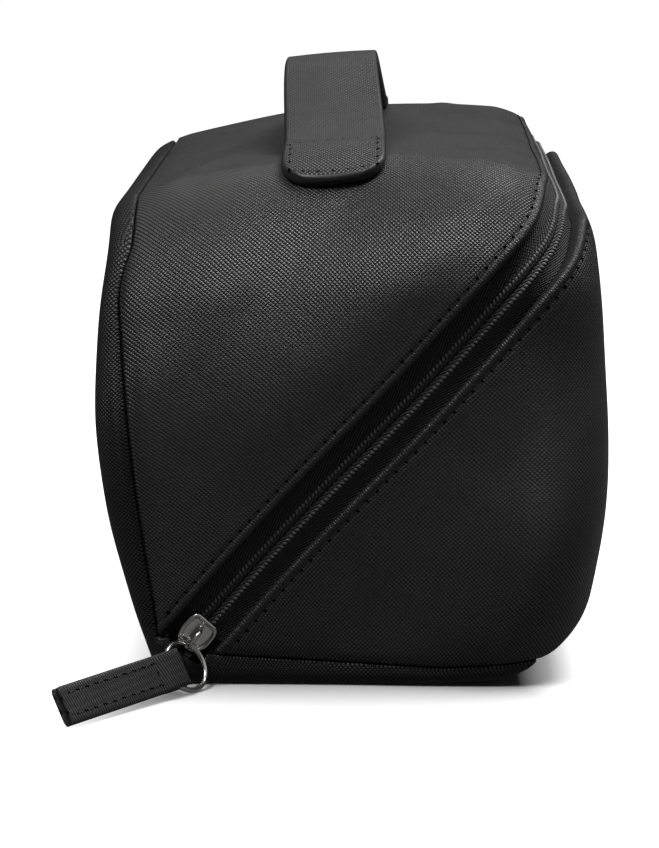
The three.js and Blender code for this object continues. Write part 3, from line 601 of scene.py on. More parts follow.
def grain(nodes, vector, pitch=0.86, slope=0.95, leading=1, lesser=0.95):
    """Height of cross-grained leather: raised lozenges between two sets of slanting grooves, one deeper."""
    split = nodes.add("ShaderNodeSeparateXYZ")
    nodes.put(split.inputs[0], vector)
    u, v = split.outputs[0], split.outputs[1]
    sway = nodes.spread(nodes.noise(vector, 0.9, 2.0), 0.3, 0.7, -0.05, 0.05)
    waver = nodes.spread(nodes.noise(vector, 0.05, 1.0), 0.3, 0.7, -0.4, 0.4)
    grooves = []
    for sign, depth, width in ((leading, 1.0, pitch), (-leading, lesser, pitch * 0.98)):
        run = nodes.math("MULTIPLY_ADD", u, sign * slope, v)
        run = nodes.math("ADD", nodes.math("ADD", run, sway), waver)
        wave = nodes.math("SINE", nodes.math("MULTIPLY", run, math.pi / (width * math.sqrt(1 + slope ** 2))))
        groove = nodes.math("POWER", nodes.math("ABSOLUTE", wave), 0.85)
        grooves.append(nodes.math("MULTIPLY_ADD", groove, depth, 1 - depth))
    lozenge = nodes.math("MINIMUM", *grooves)
    return nodes.math("MULTIPLY_ADD", nodes.noise(vector, 4.5, 3.0, 0.6), 0.16, lozenge)


def scaled(color, factor):
    return tuple(min(1.0, c * factor) for c in color)


LEATHER_DEPTH, GROOVE_PAINTED_SHADE, PAINTED_LIGHT_AND_PATCH_TONE = 0.00024, 0.1, 2.6  # bump of the grain; its grooves coloured darker as painted shade, its heights lighter as painted light, a light tone that random patches lean to as well
RIB_PITCH, HEM_PAINTED_HIGHLIGHT = 0.78, 2.1  # ribs pressed across the hem, and the hem's lighter colour, a painted highlight of its rolled edge


def leather_material(name, color, roughness, hem_ribs=False, specular=0.35, **pattern):
    """Cross-grained leather, with ribs across the hem where the piece has one. The grain's grooves are coloured darker
    as painted shade and its heights lighter as painted light; the hem is coloured lighter as a painted highlight of its
    rolled edge.
    """
    material, nodes, shader = new_material(name, color, roughness, Specular_IOR_Level=specular)
    place = nodes.add("ShaderNodeUVMap", uv_map="places").outputs[0]
    object_place = nodes.add("ShaderNodeTexCoord").outputs["Object"]
    height = grain(nodes, place, **pattern)
    patchy = nodes.noise(object_place, 38.0, 3.0, 0.55)
    light = scaled(color, PAINTED_LIGHT_AND_PATCH_TONE)
    # Painted shade and light: the grain's grooves are coloured darker, its heights lighter
    tone = nodes.blend(nodes.spread(height, 0.1, 0.95), scaled(color, GROOVE_PAINTED_SHADE), light)
    tone = nodes.blend(nodes.spread(patchy, 0.3, 0.75, 0.0, 0.2), tone, light)
    gloss = nodes.spread(nodes.noise(object_place, 60.0, 3.0, 0.6), 0.3, 0.7, roughness - 0.06, roughness + 0.08)
    gloss = nodes.math("ADD", gloss, nodes.spread(height, 0.2, 1.0, 0.25, -0.02))
    if hem_ribs:
        mask = nodes.add("ShaderNodeAttribute", attribute_name="hem").outputs["Fac"]
        run = nodes.add("ShaderNodeAttribute", attribute_name="run").outputs["Fac"]
        rib = nodes.math("ADD", run, nodes.noise(place, 1.3, 1.0))
        rib = nodes.math("SINE", nodes.math("MULTIPLY", rib, 2 * math.pi / RIB_PITCH))
        rib = nodes.math("MULTIPLY_ADD", rib, 0.22, 0.75)
        rib = nodes.math("MULTIPLY_ADD", nodes.noise(place, 5.0, 2.0), 0.2, rib)
        keep = nodes.math("SUBTRACT", 1.0, mask)
        height = nodes.math("ADD", nodes.math("MULTIPLY", height, keep), nodes.math("MULTIPLY", rib, mask))
        # Painted highlight: the hem's rolled edge is coloured lighter
        tone = nodes.blend(nodes.math("MULTIPLY", mask, 0.6), tone, scaled(color, HEM_PAINTED_HIGHLIGHT))
        gloss = nodes.math("MULTIPLY_ADD", mask, -0.08, gloss)
    shine = nodes.spread(height, 0.2, 0.9, specular * 0.15, specular * 2.1)
    if hem_ribs:
        shine = nodes.math("MULTIPLY", shine, nodes.math("MULTIPLY_ADD", mask, -0.5, 1.0))
    normal = nodes.bump(nodes.noise(object_place, 95.0, 2.0), 0.0005, strength=0.35)
    normal = nodes.bump(height, LEATHER_DEPTH, normal)
    nodes.connect(shader, Base_Color=tone, Roughness=gloss, Specular_IOR_Level=shine, Normal=normal)
    return material


def plain_textured(name, color, roughness, scale, depth, variation=0.3, **values):
    """A material with speckled colour, gloss and bump from one noise at the given scale per metre."""
    material, nodes, shader = new_material(name, color, roughness, **values)
    place = nodes.add("ShaderNodeTexCoord").outputs["Object"]
    speckle = nodes.noise(place, scale, 3.0, 0.6)
    tone = nodes.blend(nodes.spread(speckle, 0.3, 0.7), scaled(color, 1 - variation), scaled(color, 1 + variation))
    gloss = nodes.spread(nodes.noise(place, scale * 0.3, 2.0), 0.3, 0.7, roughness * 0.85, min(1.0, roughness * 1.15))
    nodes.connect(shader, Base_Color=tone, Roughness=gloss, Normal=nodes.bump(speckle, depth))
    return material


def woven_material(name, color, roughness, pitch, depth, angle=0.0, specular=0.3, longer=1.0):
    """Cloth with two crossing sets of threads laid over the texture places."""
    material, nodes, shader = new_material(name, color, roughness, Specular_IOR_Level=specular)
    place = nodes.add("ShaderNodeUVMap", uv_map="places").outputs[0]
    turn = nodes.add("ShaderNodeVectorRotate", rotation_type="Z_AXIS")
    nodes.put(turn.inputs["Vector"], place)
    nodes.put(turn.inputs["Angle"], angle)
    split = nodes.add("ShaderNodeSeparateXYZ")
    nodes.put(split.inputs[0], turn.outputs[0])
    waves = []
    for axis, width, share in ((0, pitch * longer, 0.35 if longer > 1 else 1.0), (1, pitch, 1.0)):
        run = nodes.math("MULTIPLY", split.outputs[axis], math.pi / width)
        thread_height = nodes.math("ABSOLUTE", nodes.math("SINE", run))
        waves.append(nodes.math("MULTIPLY_ADD", thread_height, share, 1 - share))
    weave = nodes.math("MULTIPLY", *waves)
    height = nodes.math("ADD", weave, nodes.math("MULTIPLY", nodes.noise(place, 3.0, 3.0), 0.3))
    tone = nodes.blend(nodes.spread(height, 0.1, 0.9), scaled(color, 0.5), scaled(color, 1.5))
    gloss = nodes.spread(height, 0.0, 1.0, roughness + 0.1, roughness - 0.05)
    nodes.connect(shader, Base_Color=tone, Roughness=gloss, Normal=nodes.bump(height, depth))
    return material


LEATHER = (0.012, 0.0118, 0.0117)
leather = leather_material("bag_leather", LEATHER, 0.31, hem_ribs=True, lesser=0.75)
base_side_leather = leather_material("base_leather", LEATHER, 0.31, hem_ribs=True, leading=-1, slope=1.0)
# Painted shade: the side and bottom panel is the same leather, coloured darker and less specular so that the bag's
# sides look shaded
side_leather_painted_shade = leather_material("side_leather_painted_shade", (0.009, 0.0089, 0.0088), 0.38, hem_ribs=True, specular=0.22)
strap_leather = leather_material("strap_leather", (0.018, 0.0177, 0.0176), 0.45)
tab_leather = leather_material("tab_leather", (0.018, 0.0177, 0.0175), 0.45, pitch=0.78, slope=0.2, lesser=0.35)
# Edge paint on the strap's sides, partly a painted highlight: coloured lighter than the strap for the light rim of its
# rounded edge
edge_paint_and_highlight = plain_textured("edge_paint_and_highlight", (0.028, 0.0277, 0.0275), 0.42, 900.0, 0.00004, 0.25, Specular_IOR_Level=0.4)
lining_cloth = woven_material("lining_cloth", (0.03, 0.03, 0.032), 0.62, 0.45, 0.00006)
tape_cloth = woven_material("tape_cloth", (0.04, 0.04, 0.041), 0.6, 0.66, 0.0006, -0.36, specular=0.45, longer=1.6)
thread = plain_textured("thread", (0.014, 0.014, 0.0142), 0.5, 2600.0, 0.00008, 0.35, Specular_IOR_Level=0.4)
# Painted highlight: the black coil's grains are coloured grey for the highlights on its loops
coil_painted_highlight = plain_textured("zip_coil", (0.17, 0.17, 0.173), 0.36, 1800.0, 0.00006, 0.4, Specular_IOR_Level=0.4)
# Painted shade: black for the needle holes, which are blobs on the surface, not holes
hollow = plain_textured("needle_hole_painted_shade", (0.001, 0.001, 0.001), 0.9, 1500.0, 0.00003, 0.3, Specular_IOR_Level=0.0)
metal = plain_textured("zip_metal", (0.5, 0.49, 0.48), 0.2, 420.0, 0.000012, 0.08, Metallic=1.0)


def adopt(piece, body, slot, *nodes):
    """Puts a finished piece on its body and hides the CAD nodes it stands for; the slot is not used."""
    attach(piece, body)
    if nodes:
        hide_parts(*nodes)


# Outer shells
outer = bag_shell()
outer_surface = Surface(outer)

# The line of the zip round both ends and the top edge, from the near hinge to the far one
ZIP_FOOT = 2.6
zip_cut, zip_edges = clip(outer, zip_across)
follow = {a: b for a, b in zip_edges}
loop = [zip_edges[0][0]]
while follow[loop[-1]] != loop[0]:
    loop.append(follow[loop[-1]])
loop = zip_cut.points[loop]
low = int(np.argmin(zip_along(loop) + np.where(np.abs(loop[:, 1]) < 100, 0, 50)))
loop = np.roll(loop, -low, axis=0)
loop = loop[zip_along(loop) > ZIP_FOOT]
if loop[0, 1] > 0:
    loop = loop[::-1]


def resample(points, pitch, soft=0):
    for _ in range(soft):
        points = np.concatenate([points[:1], (points[:-2] + 2 * points[1:-1] + points[2:]) / 4, points[-1:]])
    run = run_along(points)
    where = np.linspace(0, run[-1], int(round(run[-1] / pitch)) + 1)
    return at_runs(points, run, where), where


zip_line, zip_run = resample(resample(loop, 0.5, 4)[0], 0.35, 6)
zip_line, zip_normal, _ = outer_surface.at(zip_line)
zip_tangent = unit(np.gradient(zip_line, axis=0))
zip_cross = unit(np.cross(zip_normal, zip_tangent))
if (zip_cross * gradient(zip_across, zip_line)).sum() < 0:
    zip_cross = -zip_cross
zip_tree = KDTree(len(zip_line))
for n, p in enumerate(zip_line):
    zip_tree.insert(p, n)
zip_tree.balance()


HEM_LOOK, HEM_LOOK_FADE, HEM_LOOK_REACH = 1.9, 0.8, 11  # where the hem's look ends, from its edge and from the zip


def hem_values(points):
    """The share of hem look and the run along the zip, for each point."""
    across = np.abs(zip_across(points))
    mask = np.zeros(len(points))
    run = np.zeros(len(points))
    for n in np.nonzero((across < HEM_LOOK_REACH) & (zip_along(points) > 0))[0]:
        near, index, _ = zip_tree.find(points[n])
        run[n] = zip_run[index] + float(np.dot(points[n] - zip_line[index], zip_tangent[index]))
        mask[n] = 1 - float(smooth((across[n] - HEM_EDGE - HEM_LOOK) / HEM_LOOK_FADE))
    return {"hem": mask, "run": run}


def leather_side(side, seam_field):
    """The leather on one side of the zip, from its hem to its seam."""
    shell, edges = clip(outer, lambda p: side * zip_across(p) - HEM_EDGE - HEM_ROWS[0][0])
    shell = hem(shell, edges, side, outer_surface)
    shell, edges = clip(shell, seam_field)
    return seam_roll(shell, edges, seam_field, outer_surface)


SEAM_BACK = 0.8
# Where the openings at the zip's feet start and end, with their width, and how far the fold reaches at the hinge
PANEL_GAP, LINING_GAP = (3.4, 4.8, HEM_EDGE), (4.9, 6.2, 5.4)
LINING_DEPTH, LINING_FINE = 6.0, 0.5
lid_shell = leather_side(1, lambda p: lid_seam(p) - SEAM_BACK)
base_shell = leather_side(-1, lambda p: bottom_seam(p) - SEAM_BACK)
lid_leather = shell_piece("lid_leather", lid_shell, leather, ALONG, hem_values(lid_shell.points))
base_leather = shell_piece("base_leather", base_shell, base_side_leather, UPRIGHT, hem_values(base_shell.points))
adopt(lid_leather, "lid", "bag_leather", "lid_wrap", "lid_foam_near", "lid_foam_top", "lid_foam_far")
adopt(base_leather, "base", "bag_leather", "base_wrap", "base_foam_near", "base_foam_right", "base_foam_far")


def fold_gap(start, end, width, margin=1.2, shut=-3.0):
    """Positive outside an opening along the zip that closes towards the hinge."""

    def field(p):
        share = np.clip((zip_along(p) - start + margin) / (end - start + margin), 0, 1)
        return np.abs(zip_across(p)) - lerp(shut, width, share)
    return field


def panel_field(p):
    return np.where(zip_across(p) > 0, -lid_seam(p), -bottom_seam(p)) - SEAM_BACK


gap_field = fold_gap(*PANEL_GAP)
panel_shell, panel_edges = clip(outer, gap_field)
panel_shell = seam_roll(panel_shell, panel_edges, gap_field, outer_surface)
panel_shell, panel_edges = clip(panel_shell, panel_field)
panel_shell = seam_roll(panel_shell, panel_edges, panel_field, outer_surface)
panel = shell_piece("side_and_bottom", panel_shell, side_leather_painted_shade, UPRIGHT, hem_values(panel_shell.points))


def read(items, key, width, kind=np.float32):
    values = np.zeros(len(items) * width, kind)
    items.foreach_get(key, values)
    return values.reshape(-1, width)


def lay_sides(piece):
    """Lays the texture of the side walls and the bottom along Y, where the run across the bag doesn't serve."""
    mesh = piece.data
    layer = mesh.uv_layers["places"].data
    spot = read(mesh.vertices, "co", 3)[read(mesh.loops, "vertex_index", 1, np.int32)[:, 0]] / MM
    counts = read(mesh.polygons, "loop_total", 1, np.int32)[:, 0]
    normal, middle, uv = read(mesh.polygons, "normal", 3), read(mesh.polygons, "center", 3) / MM, read(layer, "uv", 2)
    face = np.repeat(np.arange(len(counts)), counts)
    starts = np.concatenate([[0], np.cumsum(counts)[:-1]])
    stretch = np.maximum.reduceat(uv[:, 0], starts) - np.minimum.reduceat(uv[:, 0], starts)
    wall = (np.abs(middle[:, 1]) < HALF_LENGTH - RIGHT_CORNER - 1) & (np.abs(normal[:, 0]) > 0.2) | (stretch > 6)
    corner = np.where(spot[:, 0] > 0, RIGHT_CORNER, LEFT_CORNER)
    run = HALF_WIDTH + HALF_LENGTH + corner * (math.pi / 2 - 2) + spot[:, 1]
    inward = 0.41 * np.maximum(0, HALF_WIDTH - np.abs(spot[:, 0]))
    up = spot[:, 2] + np.where(spot[:, 2] > HEIGHT / 2, inward, -inward)
    uv = np.where(wall[face][:, None], np.column_stack([np.sign(spot[:, 0]) * run, up]), uv)
    uv = np.where((normal[:, 2] < -0.7)[face][:, None], spot[:, :2], uv)
    layer.foreach_set("uv", uv.astype(np.float32).ravel())


lay_sides(base_leather)
lay_sides(panel)


def fold_blend(piece):
    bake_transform(piece)


fold_blend(panel)
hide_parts("side_panel", "bottom_panel", "side_foam", "base_board")

# Lining, one cloth from base to lid
lining_shell, _ = clip(bag_shell(LINING_DEPTH, LINING_FINE), fold_gap(*LINING_GAP))
lining = shell_piece("lining", lining_shell, lining_cloth, ALONG)
fold_blend(lining)
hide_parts("base_lining", "lid_lining")


# Strips along a line on the bag
def strip(name, rows, places, material):
    """A strip from rows of points, one row per line, each of the same count."""
    rows = np.array(rows)
    lines, count = rows.shape[:2]
    i, j = np.meshgrid(np.arange(lines - 1), np.arange(count - 1), indexing="ij")
    first = i * count + j
    quads = np.stack([first, first + 1, first + count + 1, first + count], -1).reshape(-1, 4)
    return make(name, rows.reshape(-1, 3), quads, material, np.array(places).reshape(-1, 2))


def beside_zip(span, across):
    """Places on the outer surface at one distance from the zip's middle, with their normals."""
    start = zip_line[span] + zip_cross[span] * across
    for _ in range(3):
        start, normal, _ = outer_surface.at(start)
        flat = in_plane(gradient(zip_across, start), normal)
        size = np.linalg.norm(flat, axis=1, keepdims=True)
        start = start + flat / size * (across - zip_across(start))[:, None] / size
    return start, normal


def zip_span(foot):
    """The part of the zip's line that lies further from the hinge than its foot."""
    inside = np.nonzero(zip_along(zip_line) > foot)[0]
    return slice(int(inside[0]), int(inside[-1]) + 1)


TAPE_FOOT, COIL_FOOT, TAPE_DEPTH = 4.2, 5.8, 4.6
tape_span, coil_span = zip_span(TAPE_FOOT), zip_span(COIL_FOOT)

# Across the tape: distance from the zip's middle and depth below the leather
TAPE_ROWS = [(0.1, 3.2), (0.35, 2.85), (0.9, 2.65), (1.75, 2.85), (2.7, 2.9), (3.1, 3.3), (4.4, 3.75),
             (6.2, 4.25), (8.5, 4.6), (13.0, 4.75)]
# The coil's grains: place across, depth, pitch, how they lie across and along, and their half sizes
GRAIN_ACROSS, GRAIN_DEPTH, GRAIN_PITCH, GRAIN_LIE, GRAIN_SIZE = 1.75, 2.62, 1.27, (0.86, 0.5), (0.66, 0.42, 0.36)


def bead_mesh(centres, axes_long, axes_cross, normals, half):
    """Rounded grains, each lengthened along its own axis."""
    ring, rows = 8, 5
    unit_points, faces = [], []
    for r in range(1, rows):
        a = math.pi * r / rows
        for s in range(ring):
            b = 2 * math.pi * s / ring
            unit_points.append((math.cos(a), math.sin(a) * math.cos(b), math.sin(a) * math.sin(b)))
    unit_points += [(1, 0, 0), (-1, 0, 0)]
    top, bottom = len(unit_points) - 2, len(unit_points) - 1
    for s in range(ring):
        t = (s + 1) % ring
        faces.append((top, s, t))
        faces.append((bottom, (rows - 2) * ring + t, (rows - 2) * ring + s))
        for r in range(rows - 2):
            faces.append((r * ring + s, (r + 1) * ring + s, (r + 1) * ring + t, r * ring + t))
    shape = np.array(unit_points) * half
    size = len(shape)
    points = (centres[:, None] + shape[None, :, :1] * axes_long[:, None] + shape[None, :, 1:2] * axes_cross[:, None]
              + shape[None, :, 2:] * normals[:, None]).reshape(-1, 3)
    all_faces = [tuple(v + n * size for v in face) for n in range(len(centres)) for face in faces]
    return points, all_faces


def strokes(starts, ends, normals, radius, rise):
    """Stitches: short threads that come up, lie along the surface and go down again."""
    ring, shares = 6, (0, 0.12, 0.3, 0.5, 0.7, 0.88, 1)
    quads = tube_quads(len(shares), ring, turned=True)
    points, faces = [], []
    for a, b, n in zip(starts, ends, normals):
        side = np.cross(n, unit(b - a))
        faces.append(quads + len(points))
        for t in shares:
            centre = lerp(a, b, t) + n * (rise * math.sin(math.pi * t) ** 0.6 - radius * 1.3)
            thick = radius * (0.75 + 0.25 * math.sin(math.pi * t))
            for s in range(ring):
                angle = 2 * math.pi * s / ring
                points.append(centre + (side * math.cos(angle) + n * math.sin(angle)) * thick)
    return np.array(points), np.concatenate(faces)


# Pitch, length and slant of the stitches, and the distance of the hem's row from its edge
HEM_STITCH, STRAP_STITCH, TAB_STITCH = (3.7, 2.9, 0.14), (4.0, 3.3, 0.1), (3.4, 2.5, 0.05)
HEM_STITCH_PLACE, HOLE_REACH = 2.75, 1.12


def stitch_row(name, places, normals, stitch, body, rise=0.2, radius=0.22, hole=(0.45, 0.36, 0.3), turn=None):
    """Stitches along a line of places with normals, and black blobs that stand for their needle holes as painted shade.

    With a turn, each stitch has one hole, at its end, which lies turned by that angle."""
    pitch, length, slant = stitch
    run = run_along(places)
    count = int(run[-1] / pitch)
    middles = (np.arange(count) + 0.5) * run[-1] / count
    normal = unit(at_runs(normals, run, middles))
    tangent = unit(at_runs(places, run, middles + 0.5) - at_runs(places, run, middles - 0.5))
    cross = unit(np.cross(normal, tangent))
    half = (tangent * math.cos(slant) + cross * math.sin(slant)) * length / 2
    centre = at_runs(places, run, middles)
    points, faces = strokes(centre - half, centre + half, normal, radius, rise)
    adopt(make(name, points, faces, thread), body, None)
    spots, times = centre + half * HOLE_REACH, (1, 1)
    if turn is None:
        spots, times = np.concatenate([centre - half * HOLE_REACH, spots]), (2, 1)
    longway = unit(tangent * math.cos(turn or slant) + cross * math.sin(turn or slant))
    sideways = unit(np.cross(normal, longway))
    # Painted shade: a black blob stands a little out of the surface at each needle hole
    holes, hole_faces = bead_mesh(spots + np.tile(normal, times) * (0.12 - hole[2]), np.tile(longway, times),
                                  np.tile(sideways, times), np.tile(normal, times), hole)
    adopt(make(name + "_hole_shades", holes, hole_faces, hollow), body, None)


for body, side in (("lid", 1), ("base", -1)):
    rows, places = [], []
    close = smooth((zip_along(zip_line[tape_span]) - 3.6) / 3)[:, None]
    for across, depth in TAPE_ROWS:
        spot, normal = beside_zip(tape_span, side * across)
        rows.append(spot - normal * lerp(TAPE_DEPTH, depth, close))
        places.append(np.column_stack([zip_run[tape_span], np.full(len(spot), across)]))
    if side > 0:
        rows, places = rows[::-1], places[::-1]
    adopt(strip(f"{body}_tape", rows, places, tape_cloth), body, "zip_tape", f"zip_tape_{body}")
    # Grains of thread over the coil, one row on each side, coloured grey as painted highlights
    spot, _ = resample(beside_zip(coil_span, side * GRAIN_ACROSS)[0], GRAIN_PITCH)
    normal = outer_surface.at(spot)[1]
    tangent = unit(np.gradient(spot, axis=0))
    cross = unit(np.cross(normal, tangent))
    longway = unit(cross * GRAIN_LIE[0] + tangent * GRAIN_LIE[1] * side)
    across_way = unit(np.cross(normal, longway))
    points, faces = bead_mesh(spot - normal * GRAIN_DEPTH, longway, across_way, normal, GRAIN_SIZE)
    adopt(make(f"{body}_coil", points, faces, coil_painted_highlight), body, "zip_coil", f"zip_coil_{body}")
    # Row of stitches in the hem
    spot, normal = beside_zip(tape_span, side * (HEM_EDGE + HEM_STITCH_PLACE))
    where = lid_seam(spot) > 1.5 if side > 0 else bottom_seam(spot) > 1.5
    pitch, length, slant = HEM_STITCH
    stitch_row(f"{body}_hem_stitches", (spot + normal * 0.05)[where], normal[where],
               (pitch, length, slant * side), body, rise=0.04, radius=0.16, hole=(0.54, 0.4, 0.36), turn=-0.75)


# Backing under the seams, so that nothing shows through them
def seam_strip(name, field, body, reach=2.4, depth=1.5):
    cut, edges = clip(outer, field)
    place, normal, places = outer_surface.at(cut.points[[a for a, _ in edges]])
    index = {a: n for n, (a, _) in enumerate(edges)}
    slope = unit(in_plane(gradient(field, place), normal))
    low = place - slope * reach - normal * depth
    high = place + slope * reach - normal * depth
    count = len(place)
    faces = [(index[a], index[b], count + index[b], count + index[a]) for a, b in edges if b in index]
    places = np.tile(places[:, ALONG], (2, 1))
    adopt(make(name, np.concatenate([low, high]), faces, tape_cloth, places), body, None)


seam_strip("lid_seam_backing", lambda p: np.where(zip_across(p) > HEM_EDGE, lid_seam(p), 1.0), "lid")
seam_strip("base_seam_backing", lambda p: np.where(zip_across(p) < -HEM_EDGE, bottom_seam(p), 1.0), "base")

# Handle strap
STRAP_WIDTH, STRAP_X, CREST_SHIFT, STRAP_END, FREE_HALF, RISE = 29.4, -4.8, -3.0, math.radians(37.5), 78.0, 19.1
STRAP_LOW, STRAP_HIGH, STRAP_CORNER, END_BOW, BOW_FADE = 0.7, 4.3, 7.5, 3.2, 14
STRAP_EDGE, EDGE_ROUND, END_ROUND = 1.6, 1.1, 1.2
SEWN_INSET, SEWN_FROM, SEWN_TO = 2.4, 2.3, 21.5  # the stitched box at each end


def strap_path():
    """The strap's line on the plain box: X, Y and Z, and the direction out of the strap in Y and Z."""
    bend_y, bend_z = HALF_LENGTH - TOP_BEND, HEIGHT - TOP_BEND
    stations = []
    for a in np.linspace(STRAP_END, 0, 25)[:-1]:
        sine, cosine = math.sin(a), math.cos(a)
        stations.append((STRAP_X, -bend_y - TOP_BEND * sine, bend_z + TOP_BEND * cosine, -sine, cosine))
    for y in np.linspace(-bend_y, -FREE_HALF, 5)[:-1]:
        stations.append((STRAP_X, y, HEIGHT, 0.0, 1.0))
    for y in np.linspace(-FREE_HALF, 0, 61):
        phase = math.pi * y / (2 * FREE_HALF)
        slope = -RISE * math.sin(2 * phase) * math.pi / (2 * FREE_HALF)
        size = math.hypot(slope, 1)
        lift = math.cos(phase) ** 2
        stations.append((STRAP_X + CREST_SHIFT * lift, y, HEIGHT + RISE * lift, -slope / size, 1 / size))
    half = np.array(stations)
    other = half[:-1][::-1] * np.array([1, -1, 1, -1, 1])
    return np.concatenate([half, other])


def strap_section():
    """Across the strap, clockwise from above: place across, height, and share of painted edge."""
    half, low, high = STRAP_WIDTH / 2, STRAP_LOW, STRAP_HIGH
    flat, middle, squash = half - STRAP_EDGE, (low + high) / 2, (high - low) / 2

    def edge(side, first):
        turns = [math.radians(a) for a in np.linspace(first, first - 180, 13)]
        centre = side * (half - EDGE_ROUND)
        return [(centre + EDGE_ROUND * math.cos(a), middle + squash * math.sin(a), 1.0) for a in turns]

    above = [(x, high - 0.02 * (x / half) ** 2, 0.0) for x in np.linspace(-flat, flat, 15)]
    below = [(x, low, 0.0) for x in np.linspace(flat, -flat, 9)]
    return np.array(above + edge(1, 90) + below + edge(-1, -90))


def along_strap(aside, run, lift):
    """Points at one place across the strap, one run along it, and one height."""
    values = [np.interp(run, strap_run, strap_stations[:, c]) for c in range(5)]
    return soften(np.stack([values[0] + aside, values[1] + values[3] * lift, values[2] + values[4] * lift], -1))


def bowed(aside, run):
    """The strap's ends are cut in a shallow curve: the run of a point that lies a given way from a straight end."""
    inner = END_BOW * (2 * aside / STRAP_WIDTH) ** 2
    share = np.clip(np.minimum(run, strap_run[-1] - run) / BOW_FADE, 0, 1)
    return run + np.where(run < strap_run[-1] / 2, 1, -1) * inner * (1 - share)


def build_strap():
    section = strap_section()
    half, corner = STRAP_WIDTH / 2, STRAP_CORNER
    runs = np.concatenate([np.linspace(0, 1.4, 9), np.linspace(1.7, 6.5, 15), np.linspace(7.5, strap_run[-1] / 2, 62)])
    runs = np.concatenate([runs, strap_run[-1] - runs[:-1][::-1]])
    rings, paint, places = [], [], []
    for run in runs:
        from_end = min(run, strap_run[-1] - run)
        width = half
        if from_end < corner:
            width = half - corner + math.sqrt(corner ** 2 - (corner - from_end) ** 2)
        thin = 1.0
        if from_end <= END_ROUND:
            thin = 0.3 + 0.7 * math.sqrt(max(0.0, 1 - (1 - from_end / END_ROUND) ** 2))
        across, lift, painted = section.T
        by_edge = np.sign(across) * (width - (half - np.abs(across)))
        aside = np.where(np.abs(across) < half - STRAP_EDGE, across * width / half, by_edge)
        lift = 2.5 + (lift - 2.5) * thin
        rings.append(along_strap(aside, bowed(aside, np.full(len(aside), run)), lift))
        paint.append(painted if from_end > 1.0 else np.ones(len(aside)))
        places.append(np.column_stack([aside, np.full(len(aside), run)]))
    rings = np.array(rings)
    faces = tube_faces(*rings.shape[:2])
    piece = make("strap", rings.reshape(-1, 3), faces, strap_leather, np.concatenate(places))
    piece.data.materials.append(edge_paint_and_highlight)
    painted = np.concatenate(paint)
    index = np.array([painted[list(face)].mean() > 0.6 for face in faces])
    piece.data.polygons.foreach_set("material_index", index.astype(np.int32))
    return piece


strap_stations = strap_path()
strap_run = run_along(strap_stations[:, 1:3])
strap = build_strap()
adopt(strap, "lid", "strap_leather", "handle_strap", "handle_core", "handle_underside", "handle_patch_near",
      "handle_patch_far")

for name, flip in (("near", False), ("far", True)):
    half = STRAP_WIDTH / 2 - SEWN_INSET
    corners = [(-half, SEWN_FROM), (half, SEWN_FROM), (half, SEWN_TO), (-half, SEWN_TO), (-half, SEWN_FROM)]
    line = polyline(corners, 40)
    run = bowed(line[:, 0], strap_run[-1] - line[:, 1] if flip else line[:, 1])
    spot = along_strap(line[:, 0], run, STRAP_HIGH)
    normal = unit(along_strap(line[:, 0], run, STRAP_HIGH + 1) - spot)
    stitch_row(f"strap_stitches_{name}", spot, normal, STRAP_STITCH, "lid")

# Slider
SLIDER_MIDDLE = 11.1
slider_x = np.array([math.cos(END_ANGLE), 0, math.sin(END_ANGLE)])
slider_y = np.array([-math.sin(END_ANGLE), 0, math.cos(END_ANGLE)])
slider_z = np.array([0.0, -1.0, 0.0])
slider_origin = np.array([HINGE_X, -HALF_LENGTH, HINGE_Z]) + slider_x * SLIDER_MIDDLE


def slider_points(local):
    local = np.asarray(local)
    return slider_origin + local[..., :1] * slider_x + local[..., 1:2] * slider_y + local[..., 2:] * slider_z


def rounded(outline, radius, count=6):
    """A closed outline with its corners rounded."""
    result = []
    outline = np.array(outline, float)
    for n, p in enumerate(outline):
        a, b = outline[n - 1] - p, outline[(n + 1) % len(outline)] - p
        la, lb = np.linalg.norm(a), np.linalg.norm(b)
        r = min(radius, la * 0.45, lb * 0.45)
        start, stop = p + a / la * r, p + b / lb * r
        for t in np.linspace(0, 1, count):
            result.append((1 - t) ** 2 * start + 2 * t * (1 - t) * p + t ** 2 * stop)
    return np.array(result)


def layered(name, outline, layers):
    """A solid of stacked outlines: each layer draws the outline in by an inset, at one height."""
    tangent = unit(np.roll(outline, -1, 0) - np.roll(outline, 1, 0))
    inward = np.column_stack([-tangent[:, 1], tangent[:, 0]])
    if ((outline.mean(0) - outline) * inward).sum() < 0:
        inward = -inward
    rings = []
    for inset, high in layers:
        rings.append(np.column_stack([outline + inward * inset, np.full(len(outline), high)]))
    rings = np.array(rings)
    return make(name, slider_points(rings.reshape(-1, 3)), tube_faces(*rings.shape[:2], turned=True), metal)


def wire(name, points, radius, ring, up, closed=False):
    """A round wire of metal along points."""
    tangent = unit(np.roll(points, -1, 0) - np.roll(points, 1, 0) if closed else np.gradient(points, axis=0))
    first = unit(np.cross(tangent, up))
    second = unit(np.cross(tangent, first))
    turn = np.linspace(0, 2 * math.pi, ring, endpoint=False)[None, :, None]
    rings = points[:, None] + radius * (np.cos(turn) * first[:, None] + np.sin(turn) * second[:, None])
    faces = tube_quads(len(points), ring, True, True) if closed else tube_faces(len(points), ring, turned=True)
    return make(name, rings.reshape(-1, 3), faces, metal)


